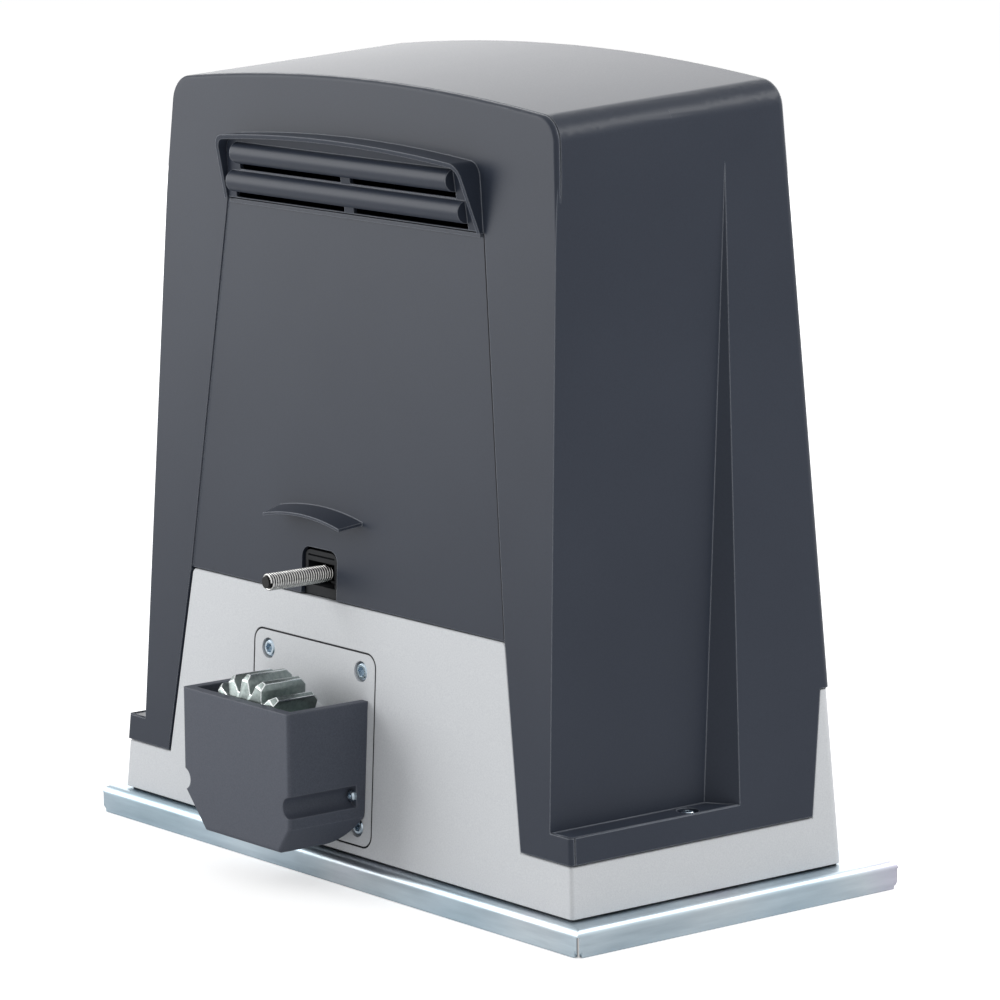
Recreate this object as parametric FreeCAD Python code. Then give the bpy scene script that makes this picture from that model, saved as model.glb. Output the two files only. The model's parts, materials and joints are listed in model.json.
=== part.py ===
import FreeCAD, Part
import math
import os

from FreeCAD import Matrix, Vector

# Sliding gate motor: a drive that stands beside a sliding gate and moves it by a
# pinion that runs in a rack on the gate.  X is the way the gate travels, -Y faces
# the gate, +Z is up and z = 0 is the ground under the base plate.  All sizes in mm.
# Everything is built about the centre of the base plate and is moved at export, so
# that the origin is the centre of the whole part's footprint.

# ---------------------------------------------------------------- base plate
PLATE_LENGTH = 429.0
PLATE_WIDTH = 224.0
PLATE_HEIGHT = 15.0          # height of the folded-down flanges
PLATE_SHEET = 3.0
PLATE_BEND = 4.0             # outside radius of the folds
CORNER_SLIT = 1.2            # open slit where two flanges meet
FLANGE_END_RADIUS = 4.0      # rounded lower corners of the flanges

GASKET_THICKNESS = 1.4
GASKET_INSET = 3.0
GASKET_RIM = 16.0

ANCHOR_SPACING_X = 310.0
ANCHOR_SPACING_Y = 120.0
ANCHOR_HOLE_R = 6.5
LEVELLING_OFFSET = 24.0      # from each anchor hole outwards to its levelling screw
LEVELLING_R = 5.0
LEVELLING_STANDOUT = 8.0

# ---------------------------------------------------------------- outer form
CASING_LENGTH = 402.4
CASING_WIDTH = 189.4
CASING_Y = -10.0             # the body sits towards the gate side of the plate
END_LEAN = 0.0832            # each face leans in by this much per mm of height
FRONT_LEAN = 0.0494
BACK_LEAN = 0.032
CROWN_Z = 433.7              # top of the gate-side face under the cover's skin, at the middle
TOP_CROWN = 9.5              # how much the top arches from its ends to the middle
TOP_RISE = 9.5               # how much the top climbs from gate side to far side
TOP_END_RADIUS = 15.0
FRONT_EDGE_RADIUS = 2.2
BACK_EDGE_RADIUS = 6.0
RIM_GROOVE_BACK = 2.6        # shadow groove round the cover, behind its front face
RIM_GROOVE_WIDTH = 0.9
RIM_GROOVE_DEPTH = 0.7

CASING_WALL = 4.0
CASING_FLOOR = 5.0
COVER_WALL = 3.0
COVER_PROUD = 0.8            # the cover stands this far outside casing and panel
SEAM = 0.8                   # open line between casing, cover and panel

SPLIT_Z = 43.6               # top edge of the casing's tub
FRONT_WALL_TOP = 151.3       # the casing climbs to here between the cover's legs
FRONT_WALL_HALF_LOW = 158.3
FRONT_WALL_HALF_TOP = 139.8
FRONT_WALL_CORNER = 3.0      # its rounded upper corners
CASING_BEVEL = 0.7
REAR_WALL_TOP = 111.0
REAR_WALL_Y_LOW = 64.0
REAR_WALL_Y_TOP = 74.4

# ---------------------------------------------------------------- cover ends
LEDGE_Z = 58.5
RECESS_DEPTH_LOW = 16.4      # depth of the end recess at the ledge
RECESS_TOP = 396.0           # height at which the recess runs out
RECESS_Y_LOW = 12.7          # where its rear wall meets the end face
RECESS_Y_TOP = 27.0
RECESS_WALL_SLANT = 0.66
COVER_SCREW_Y = -16.0
COVER_SCREW_R = 2.5
COVER_SCREW_HEAD_R = 4.0
COVER_SCREW_HEAD = 3.2
COVER_SCREW_WELL_R = 6.0
COVER_SCREW_INSET = 8.0      # from the outer edge of the ledge
SCREW_CLEARANCE = 0.3

# ---------------------------------------------------------------- gate-side panel
PANEL_TOP = 362.0
PANEL_HALF_TOP = 112.7
PANEL_THICKNESS = 3.0
PANEL_LIP = 2.2              # bead along the panel's top edge
PANEL_LIP_PROUD = 1.2
PANEL_LIP_INSET = 2.0

VENT_TOP = 398.0
VENT_NARROWING = 5.2         # the vent's top is this much narrower each side than its foot
VENT_CROWN = 5.0
VENT_CORNER_RADIUS = 9.0
HOOD_WALL = 2.4
HOOD_PROUD_LOW = 3.3
HOOD_PROUD_TOP = 15.8
LOUVRE_SHEET = 2.4
LOUVRE_BACK_LOW = 1.0        # how far the louvre plate lies behind the rim
LOUVRE_BACK_TOP = 6.5
LOUVRE_R = 6.0
LOUVRE_Z = (372.5, 388.6)
LOUVRE_INSET = (10.2, 17.2)    # ends of the two louvres, inside the panel's half width
LOUVRE_SLOT = 3.2
LOUVRE_WEB = 8.0

BROW_X = -22.0
BROW_Z = 202.0
BROW_WIDTH = 75.5
BROW_WIDTH_FRONT = 68.5
BROW_SAGITTA = 3.8
BROW_REACH = 14.0
BROW_DROP = 2.8
BROW_THICKNESS = 2.0

# ---------------------------------------------------------------- limit switch
ARM_X = BROW_X
ARM_Z = 164.5
ARM_PIVOT_Y = -82.0
ARM_TIP_Y = -133.5
ARM_SWING = 15.0
SPRING_R = 4.85
SPRING_WIRE = 1.6
ARM_CORE_R = 2.5
WINDOW_WIDTH = 32.0
WINDOW_TOP = 178.5
WINDOW_RADIUS = 6.5
SWITCH_GAP = 1.7             # dark gap between window and switch housing
SWITCH_WALL = 2.5
SWITCH_DEPTH = 25.0
SWITCH_TONGUE = 16.0         # how far the housing's tongue hangs behind the casing's wall
SWITCH_TONGUE_GAP = 0.3
SWITCH_EAVE = 6.0            # depth of the slanting strip over the mouth
SWITCH_EAVE_RISE = 3.5
MOUTH_ROOM = 2.2             # free height below the spring
ARM_PIN_R = 2.5
ARM_HUB_R = 6.0
ARM_HUB_LEDGE = 1.5
ARM_SOCKET = 8.0             # length of the hub's socket, where the spring ends
ARM_PLUG = 4.0               # length of the plug in the spring's tip
ARM_PLUG_SINK = 0.6          # how far the last coil stands past the plug's root
ARM_CAM_WIDTH = 4.0
ARM_CAM_REACH = 7.4
ARM_CAM_Z = (-4.0, 2.0)
SNAP_SWITCH = (7.0, 16.0, 10.0)
SNAP_SWITCH_Y = 4.0          # behind the housing's face
SNAP_SWITCH_Z = 3.0          # above the casing's wall
SNAP_SWITCH_PITCH = 11.5
SNAP_PIN = (1.0, 2.0)
SNAP_PIN_Y = (2.0, 7.0, 12.0)

# ---------------------------------------------------------------- pinion drive
AXIS_X = -24.0
AXIS_Z = 75.0
PINION_MODULE = 4.0
PINION_TEETH = 18
PINION_WIDTH = 30.0
PINION_FRONT_Y = -147.0
PINION_CHAMFER = 3.0
PINION_BACKLASH = 0.3
PINION_ROOT_DEPTH = 1.25       # below the pitch line, in modules
PINION_ROOT_SAG = 0.12         # roundness of the root, in modules
KEY_WIDTH = 6.0
KEY_DEPTH = 3.5                # how deep the key sits in the shaft
PINION_RECESS_R = 15.5
PINION_RECESS = 5.5
PINION_BORE_R = 10.0
RETAINER_WASHER = 2.0
RETAINER_FLAT_R = 5.0
RETAINER_HEAD = 3.2
PRESSURE_ANGLE = 20.0

FLANGE_X = -24.5
FLANGE_Z = 74.5
FLANGE_WIDTH = 109.0
FLANGE_HEIGHT = 105.0
FLANGE_RADIUS = 7.0
FLANGE_THICKNESS = 6.0
FLANGE_GROOVE = 1.0
FLANGE_SCREW_SPACING_X = 84.0
FLANGE_SCREW_SPACING_Z = 85.0
FLANGE_SCREW_R = 3.0
FLANGE_SCREW_HEAD_R = 5.0
FLANGE_SCREW_WELL_R = 5.7
FLANGE_SCREW_WELL = 4.5
SOCKET_SHARE = 0.5           # width of a hexagon socket as a share of its screw head
SOCKET_FLOOR = 0.35          # height of its floor as a share of the head's height
FLANGE_BOSS_R = 20.0
FLANGE_BOSS_REACH = 12.0
PAD_MARGIN = 8.0
PAD_THICKNESS = 14.0

GUARD_HALF = 48.5
GUARD_TOP = 102.0
GUARD_BOTTOM = 24.7
GUARD_FRONT_Y = -154.0
GUARD_WALL = 5.5
GUARD_CHAMFER_RIGHT = (10.0, 14.0)
GUARD_CHAMFER_LEFT = (19.0, 21.0)
GUARD_REAR_RADIUS = 20.0
GUARD_EDGE_RADIUS = 2.0
GROOVE_R = 6.0
GROOVE_Z = 50.8
GUARD_LUG = 6.0
GUARD_SCREW_INSET = 2.8
GUARD_SCREW_R = 2.0
GUARD_SCREW_HEAD_R = 3.1
GUARD_SCREW_HEAD = 2.6

# ---------------------------------------------------------------- worm gearbox
WORM_MODULE = 2.5
WHEEL_TEETH = 30
WORM_PITCH_R = 12.5
WORM_LENGTH = 46.0
WORM_THREAD_LENGTH = 32.0
WORM_BACKLASH = 0.5
WORM_ROOT_DEPTH = 1.3        # depth of the tooth space below the pitch line, in modules
WHEEL_Y = -38.0
WHEEL_WIDTH = 16.0
WHEEL_HUB_R = 20.0
WHEEL_HUB_WIDTH = 24.0
WHEEL_HUB_END_PLAY = 0.5
SHAFT_R = 12.5
SHAFT_TAIL = 8.0             # how far the shaft stands out of the gearbox cover
TAPPED_R = 3.0
TAPPED_DEPTH = 14.0
RUNNING_CLEARANCE = 0.05
GEAR_CLEARANCE = 1.5
GEARBOX_WALL = 6.0
GEARBOX_COVER = 7.0
GEARBOX_FOOT = 18.0
WEB_SHARE = 0.8              # height of the web between drum and tower, against the drum's
REAR_BOSS = 6.0              # how far the rear bearing's boss stands out of the cover
REAR_BOSS_WALL = 4.0
COVER_TOWER_GAP = 0.3        # between the gearbox cover and the worm's tower
BEARING_GAP = 0.3            # end gap of the worm's bearings
GEARBOX_SCREW_R = 1.5
GEARBOX_SCREW_HEAD_R = 2.8
GEARBOX_SCREW_HEAD = 3.0
GEARBOX_SCREW_BITE = 8.0
FRONT_BEARING_R = 26.0
FRONT_BEARING_WIDTH = 15.0
REAR_BEARING_R = 21.0
REAR_BEARING_WIDTH = 12.0
REAR_JOURNAL_R = 10.0
SEAL_WIDTH = 7.0
SEAL_R = 17.5

# ---------------------------------------------------------------- motor
WORM_JOURNAL_R = 7.5
WORM_BEARING_R = 17.5
WORM_BEARING_WIDTH = 11.0
MOTOR_R = 46.0
MOTOR_WALL = 2.5
MOTOR_BOTTOM_Z = 134.0
MOTOR_TOP_Z = 262.0
STATOR_END_ROOM = 22.0         # from the stator's ends to the ends of the can
STATOR_INNER_R = 29.6
STATOR_SLOTS = 12
ROTOR_R = 29.0
ROTOR_SHORT = 2.0            # how far the core ends inside the stator
CAGE_RING = 7.0
CAGE_RING_STEP = 5.0
COIL_OVERHANG = 14.0
COIL_CHAMFER = 3.0
END_CAP = 12.0
END_CAP_CHAMFER = 3.0
MOTOR_FLANGE = 8.0
MOTOR_SPIGOT = 4.0             # how far flange and end cap reach into the can
SPIGOT_GAP = 0.1
CAN_FLUTES = 12
CAN_FLUTE_WIDTH = 4.0
CAN_FLUTE_DEPTH = 1.2
CAN_FLUTE_END = 14.0           # plain length left at each end of the can
STATOR_SLOT_WIDTH = 4.8
STATOR_SLOT_DEPTH = 8.0
COIL_GAP = 1.5                 # between coil heads and rotor
COIL_WALL_GAP = 3.0            # between coil heads and can
MOTOR_SCREW_R = 2.0
MOTOR_SCREW_HEAD_R = 3.5
MOTOR_SCREW_HEAD = 3.5

# ---------------------------------------------------------------- hand release
RELEASE_ROD_R = 4.0
RELEASE_ROD_BITE = 6.0       # how far the rod stands in the shaft at rest
RELEASE_ROD_SHORT = 2.0      # how far it ends before the far wall's outer face
RELEASE_BORE_DEEP = 4.0      # the shaft's bore runs this far past the wheel's middle
RELEASE_TRAVEL = 6.0
LEVER_HUB_R = 17.0
LEVER_THICKNESS = 9.0
LEVER_LENGTH = 68.0
LEVER_WIDTH = 15.0
LEVER_GAP = 0.4
LEVER_CHAMFER = 1.6
PIVOT_R = 9.0
LOCK_R = 7.0
LOCK_DEPTH = 5.0
KEY_SLOT_WIDTH = 1.6
KEY_SLOT_LENGTH = 7.0
KEY_SLOT_DEPTH = 3.0
LOCK_PROUD = 0.6

# ---------------------------------------------------------------- electrics
CABLE_X = 92.0
CABLE_Y = -62.0
CABLE_BORE_R = 12.0
CABLE_BUSH_R = 18.0
CABLE_BUSH_LIP = 3.0
BOARD_X = -95.0
BOARD_Y = 30.0
BOARD_WIDTH = 120.0
BOARD_HEIGHT = 150.0
BOARD_LOW_Z = 90.0
BOARD_THICKNESS = 1.6
STANDOFF = 6.0
STANDOFF_R = 3.5
STANDOFF_INSET = 5.0           # from the board's edges
CARRIER_SHEET = 3.0
CARRIER_MARGIN = 6.0           # round the board
CARRIER_LEG = 14.0
CARRIER_FOOT = 18.0            # how far a foot reaches forwards
CARRIER_FOOT_HEIGHT = 4.0
CARRIER_RIB = 4.0
TERMINAL_COUNT = 5
TERMINAL_SHARE = 0.84          # a block's width as a share of its pitch
TERMINAL_DEPTH = 12.0
TERMINAL_HEIGHT = 12.0
TERMINAL_STEP = (4.0, 6.0)     # depth and height of the wire entry's step
TERMINAL_Z = 4.0               # above the board's lower edge
RELAY_SIZE = (18.0, 15.0, 22.0)
RELAY_X = (-38.0, -14.0, 10.0)
RELAY_Z = 60.0                 # above the board's lower edge
TRANSFORMER_X = 108.0
TRANSFORMER_Y = 14.0
TRANSFORMER_WIDTH = 66.0
TRANSFORMER_DEPTH = 44.0
TRANSFORMER_HEIGHT = 56.0
COIL_STANDOUT = 8.0            # how far the winding stands out of its core
COIL_SIDE = 12.0
COIL_END = 10.0
COIL_RADIUS = 4.0
STRAP = 3.0                    # sheet of the transformer's strap
STRAP_SIDE = 2.0
STRAP_INSET = 4.0
STRAP_FOOT = 14.0
CAPACITOR_R = 19.0
CAPACITOR_HEIGHT = 78.0
CAPACITOR_CRIMP = 1.5
CAPACITOR_TAG = (6.0, 0.8, 8.0)
CAPACITOR_TAG_X = 6.0
CAPACITOR_X = 138.0
CAPACITOR_Y = -32.0

# ---------------------------------------------------------------- worked out
BASE_Z = PLATE_HEIGHT + GASKET_THICKNESS
FLOOR_TOP = BASE_Z + CASING_FLOOR
PINION_R = PINION_MODULE * PINION_TEETH / 2
PINION_TIP_R = PINION_R + PINION_MODULE
PINION_BACK_Y = PINION_FRONT_Y + PINION_WIDTH
WHEEL_R = WORM_MODULE * WHEEL_TEETH / 2
WHEEL_TIP_R = WHEEL_R + WORM_MODULE
WORM_X = AXIS_X + WHEEL_R + WORM_PITCH_R
WORM_PITCH = math.pi * WORM_MODULE
GEARBOX_R = WHEEL_TIP_R + GEAR_CLEARANCE + GEARBOX_WALL
GEARBOX_FRONT_Y = WHEEL_Y - WHEEL_HUB_WIDTH / 2 - GEARBOX_WALL
GEARBOX_BACK_Y = WHEEL_Y + WHEEL_HUB_WIDTH / 2
GEARBOX_COVER_Y = GEARBOX_BACK_Y + GEARBOX_COVER
WORM_TUBE_R = WORM_BEARING_R + GEARBOX_WALL
GEARBOX_TOP_Z = MOTOR_BOTTOM_Z - MOTOR_FLANGE
STATOR_LENGTH = MOTOR_TOP_Z - MOTOR_BOTTOM_Z - 2 * STATOR_END_ROOM
LOUVRE_HALF = [PANEL_HALF_TOP - inset for inset in LOUVRE_INSET]
VENT_HALF_TOP = PANEL_HALF_TOP - VENT_NARROWING
BIG = 600.0


# ---------------------------------------------------------------- small helpers
def box(x0, x1, y0, y1, z0, z1):
    return Part.makeBox(x1 - x0, y1 - y0, z1 - z0, Vector(x0, y0, z0))


def rod_x(y, z, r, x0, x1):
    return Part.makeCylinder(r, x1 - x0, Vector(x0, y, z), Vector(1, 0, 0))


def rod_y(x, z, r, y0, y1):
    return Part.makeCylinder(r, y1 - y0, Vector(x, y0, z), Vector(0, 1, 0))


def rod_z(x, y, r, z0, z1):
    return Part.makeCylinder(r, z1 - z0, Vector(x, y, z0), Vector(0, 0, 1))


def prism_x(points, x0, x1):
    """Extrude a (y, z) outline from x0 to x1."""
    corners = [Vector(x0, y, z) for y, z in points]
    return Part.Face(Part.makePolygon(corners + corners[:1])).extrude(Vector(x1 - x0, 0, 0))


def prism_y(points, y0, y1):
    """Extrude an (x, z) outline from y0 to y1."""
    corners = [Vector(x, y0, z) for x, z in points]
    return Part.Face(Part.makePolygon(corners + corners[:1])).extrude(Vector(0, y1 - y0, 0))


def fuse(shapes):
    shapes = list(shapes)
    return shapes[0].multiFuse(shapes[1:]).removeSplitter()


def group(shapes):
    return Part.makeCompound(list(shapes))


def mirrored_x(shape):
    return shape.mirror(Vector(0, 0, 0), Vector(1, 0, 0))


def mirrored_y(shape):
    return shape.mirror(Vector(0, 0, 0), Vector(0, 1, 0))


def both_ends(shape):
    """The same shape at +X and at -X."""
    return [shape, mirrored_x(shape)]


def is_along(edge, direction):
    if len(edge.Vertexes) < 2:
        return False
    span = edge.Vertexes[1].Point - edge.Vertexes[0].Point
    return span.Length > 1e-6 and abs(span.normalize() * direction) > 0.9999


def fillet_where(shape, radius, chosen):
    return shape.makeFillet(radius, [e for e in shape.Edges if chosen(e)])


def rounded_block_y(x0, x1, z0, z1, radius, y0, y1):
    """A block along Y whose four long edges are rounded."""
    block = box(x0, x1, y0, y1, z0, z1)
    return fillet_where(block, radius, lambda e: is_along(e, Vector(0, 1, 0)))


def corner_points(spacing_x, spacing_y, x=0.0, y=0.0):
    return [(x + sx * spacing_x / 2, y + sy * spacing_y / 2) for sx in (-1, 1) for sy in (-1, 1)]


# ---------------------------------------------------------------- outer form
def end_x(z):
    return CASING_LENGTH / 2 - END_LEAN * (z - BASE_Z)


def cover_end_x(z):
    return end_x(z) + COVER_PROUD


def front_y(z):
    return CASING_Y - CASING_WIDTH / 2 + FRONT_LEAN * (z - BASE_Z)


def back_y(z):
    return CASING_Y + CASING_WIDTH / 2 - BACK_LEAN * (z - BASE_Z)


def crown_cylinder(inset):
    """The arch of the top as one large cylinder that climbs towards the far side."""
    half = end_x(CROWN_Z - TOP_CROWN)
    radius = (half ** 2 + TOP_CROWN ** 2) / (2 * TOP_CROWN)
    near = front_y(CROWN_Z)
    climb = Vector(0, back_y(CROWN_Z + TOP_RISE) - near, TOP_RISE)
    upright = radius * climb.Length / climb.y
    start = Vector(0, near, CROWN_Z - upright) - climb
    return Part.makeCylinder(radius - inset, 3 * climb.Length, start, climb)


def envelope(inset, low, end_radius, front_radius, back_radius):
    """The tapered outer form, or the space a wall's thickness inside it."""
    def near(z):
        return front_y(z) + inset

    def far(z):
        return back_y(z) - inset

    top = CROWN_Z + 2 * TOP_RISE
    ends = trapezoid(end_x(low) - inset, end_x(top) - inset, low, top)
    sides = [(near(low), low), (far(low), low), (far(top), top), (near(top), top)]
    body = prism_y(ends, -BIG, BIG).common(prism_x(sides, -BIG, BIG)).common(crown_cylinder(inset))

    def on_face(edge, y_at):
        ends = [edge.valueAt(p) for p in edge.ParameterRange]
        ends.append(edge.valueAt(sum(edge.ParameterRange) / 2))
        lifted = max(p.z for p in ends) > low + 1
        return lifted and all(abs(p.y - y_at(p.z)) < 0.05 for p in ends)

    def top_end(edge):
        ys = [v.Point.y for v in edge.Vertexes]
        return min(v.Point.z for v in edge.Vertexes) > FRONT_WALL_TOP and max(ys) - min(ys) > COVER_WALL

    if end_radius:
        body = fillet_where(body, end_radius, top_end)
    if front_radius:
        body = fillet_where(body, front_radius, lambda e: on_face(e, near))
    if back_radius:
        body = fillet_where(body, back_radius, lambda e: on_face(e, far))
    return body


def lean_slab(outer, inner, z0, z1):
    """A slab that follows the leaning gate-side face, from outer to inner depth."""
    outline = [
        (front_y(z0) + outer, z0),
        (front_y(z0) + inner, z0),
        (front_y(z1) + inner, z1),
        (front_y(z1) + outer, z1),
    ]
    return prism_x(outline, -BIG, BIG)


def trapezoid(half_low, half_top, z_low, z_top, grow=0.0):
    return [
        (-half_low - grow, z_low - grow),
        (half_low + grow, z_low - grow),
        (half_top + grow, z_top + grow),
        (-half_top - grow, z_top + grow),
    ]


def casing_region(grow):
    """Where the outer form is casing and not cover, enlarged by grow."""
    front = trapezoid(FRONT_WALL_HALF_LOW, FRONT_WALL_HALF_TOP, SPLIT_Z, FRONT_WALL_TOP, grow)
    rear = [
        (REAR_WALL_Y_LOW - grow, SPLIT_Z),
        (REAR_WALL_Y_TOP - grow, REAR_WALL_TOP + grow),
        (BIG, REAR_WALL_TOP + grow),
        (BIG, SPLIT_Z),
    ]
    tub = box(-BIG, BIG, -BIG, BIG, BASE_Z - BIG, SPLIT_Z + grow)

    def upper_corner(edge):
        return is_along(edge, Vector(0, 1, 0)) and edge.Vertexes[0].Point.z > FRONT_WALL_TOP - 1
    wall = fillet_where(prism_y(front, -BIG, CASING_Y), FRONT_WALL_CORNER + grow, upper_corner)
    return fuse([tub, wall, prism_x(rear, -BIG, BIG)])


def end_recess(grow):
    """The long shallow recess of one end, open to the gate side, enlarged by grow."""
    def floor_x(z):
        share = (z - LEDGE_Z) / (RECESS_TOP - LEDGE_Z)
        low = cover_end_x(LEDGE_Z) - RECESS_DEPTH_LOW
        return low + (cover_end_x(RECESS_TOP) - low) * share - grow

    def rear_y(z, x):
        share = (z - LEDGE_Z) / (RECESS_TOP - LEDGE_Z)
        edge = RECESS_Y_LOW + (RECESS_Y_TOP - RECESS_Y_LOW) * share
        return edge - RECESS_WALL_SLANT * (cover_end_x(z) - x) + grow

    def outline(z):
        inner = floor_x(z)
        outer = CASING_LENGTH / 2 + COVER_WALL
        corners = [
            Vector(inner, -BIG, z),
            Vector(outer, -BIG, z),
            Vector(outer, rear_y(z, outer), z),
            Vector(inner, rear_y(z, inner), z),
        ]
        return Part.makePolygon(corners + corners[:1])

    return Part.makeLoft([outline(LEDGE_Z - grow), outline(CROWN_Z)], True, True)


# ---------------------------------------------------------------- base
def base_plate():
    """Folded sheet tray, open below, with a slit at each corner."""
    half_x = PLATE_LENGTH / 2
    half_y = PLATE_WIDTH / 2

    def tray(inset, top, radius):
        block = box(inset - half_x, half_x - inset, inset - half_y, half_y - inset, 0, top)

        def top_edge(edge):
            return min(v.Point.z for v in edge.Vertexes) > top - 0.01
        return fillet_where(block, radius, top_edge)

    hollow = tray(PLATE_SHEET, PLATE_HEIGHT - PLATE_SHEET, PLATE_BEND - PLATE_SHEET)
    plate = tray(0, PLATE_HEIGHT, PLATE_BEND).cut(hollow)
    slit_top = PLATE_HEIGHT - PLATE_BEND
    reach = PLATE_SHEET * 2
    cuts = []
    for x, y in corner_points(PLATE_LENGTH, PLATE_WIDTH):
        slit = box(-reach, reach, -CORNER_SLIT / 2, CORNER_SLIT / 2, -1, slit_top)
        slit.rotate(Vector(0, 0, 0), Vector(0, 0, 1), math.copysign(45, x * y))
        slit.translate(Vector(x, y, 0))
        cuts.append(slit)
    for x, y in corner_points(ANCHOR_SPACING_X, ANCHOR_SPACING_Y, 0, CASING_Y):
        cuts.append(rod_z(x, y, ANCHOR_HOLE_R, -1, PLATE_HEIGHT + 1))
    cuts.append(rod_z(CABLE_X, CABLE_Y, CABLE_BUSH_R + CABLE_BUSH_LIP + 1, -1, PLATE_HEIGHT + 1))
    return plate.cut(fuse(cuts)).cut(group(flange_corner_cuts()))


def flange_corner_cuts():
    """What is cut away to round the lower corners of the four flanges."""
    r = FLANGE_END_RADIUS
    x = PLATE_LENGTH / 2
    y = PLATE_WIDTH / 2
    long_end = box(x - r, x + 1, y - PLATE_SHEET, y + 1, -1, r).cut(rod_y(x - r, r, r, 0, BIG))
    short_end = box(x - PLATE_SHEET, x + 1, y - r, y + 1, -1, r).cut(rod_x(y - r, r, r, 0, BIG))
    right = [long_end, short_end, mirrored_y(long_end), mirrored_y(short_end)]
    return right + [mirrored_x(cut) for cut in right]


def base_gasket():
    """Soft rim between plate and casing, with a pad round each hole."""
    half_x = CASING_LENGTH / 2 - GASKET_INSET
    half_y = CASING_WIDTH / 2 - GASKET_INSET
    top = BASE_Z
    outer = box(-half_x, half_x, CASING_Y - half_y, CASING_Y + half_y, PLATE_HEIGHT, top)
    rim = outer.cut(box(GASKET_RIM - half_x, half_x - GASKET_RIM, CASING_Y - half_y + GASKET_RIM,
                        CASING_Y + half_y - GASKET_RIM, PLATE_HEIGHT - 1, top + 1))
    pads = []
    holes = []
    for x, y in corner_points(ANCHOR_SPACING_X, ANCHOR_SPACING_Y, 0, CASING_Y):
        pads.append(box(x - GASKET_RIM, x + GASKET_RIM, y - GASKET_RIM, y + GASKET_RIM,
                        PLATE_HEIGHT, top))
        holes.append(rod_z(x, y, ANCHOR_HOLE_R, PLATE_HEIGHT - 1, top + 1))
    for x, y in levelling_places():
        holes.append(rod_z(x, y, LEVELLING_R + 1, PLATE_HEIGHT - 1, top + 1))
    return fuse([rim] + pads).cut(fuse(holes))


def levelling_places():
    return [(x + math.copysign(LEVELLING_OFFSET, x), y)
            for x, y in corner_points(ANCHOR_SPACING_X, ANCHOR_SPACING_Y, 0, CASING_Y)]


def levelling_screws():
    """Grub screws in the casing floor that bear on the plate."""
    screws = []
    for x, y in levelling_places():
        screw = rod_z(x, y, LEVELLING_R, PLATE_HEIGHT, FLOOR_TOP + LEVELLING_STANDOUT)
        socket = prism_hexagon(x, y, LEVELLING_R * 0.5, FLOOR_TOP + LEVELLING_STANDOUT - LEVELLING_R,
                               FLOOR_TOP + LEVELLING_STANDOUT + 1)
        screws.append(screw.cut(socket))
    return group(screws)


def prism_hexagon(x, y, flat_r, z0, z1):
    """Upright hexagon, flat_r from its axis to each flat."""
    r = flat_r / math.cos(math.pi / 6)
    corners = [Vector(x + r * math.cos(a * math.pi / 3), y + r * math.sin(a * math.pi / 3), z0)
               for a in range(6)]
    return Part.Face(Part.makePolygon(corners + corners[:1])).extrude(Vector(0, 0, z1 - z0))


def turned_to_y(shape, x, y, z):
    """Put a shape built upwards about the Z axis on an axis that points to -Y."""
    turned = shape.copy()
    turned.rotate(Vector(0, 0, 0), Vector(1, 0, 0), 90)
    turned.translate(Vector(x, y, z))
    return turned


# ---------------------------------------------------------------- casing
def cover_screw_places():
    x = end_x(LEDGE_Z) - COVER_SCREW_INSET
    return [(x, COVER_SCREW_Y), (-x, COVER_SCREW_Y)]


def flange_block(grow, near, far):
    """Rounded block of the flange's outline that follows the leaning face."""
    half_w = FLANGE_WIDTH / 2 + grow
    half_h = FLANGE_HEIGHT / 2 + grow
    block = rounded_block_y(FLANGE_X - half_w, FLANGE_X + half_w, FLANGE_Z - half_h,
                            FLANGE_Z + half_h, FLANGE_RADIUS + grow, -BIG / 2, 0)
    return block.common(lean_slab(near, far, BASE_Z - PAD_MARGIN * 2, FRONT_WALL_TOP))


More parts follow.
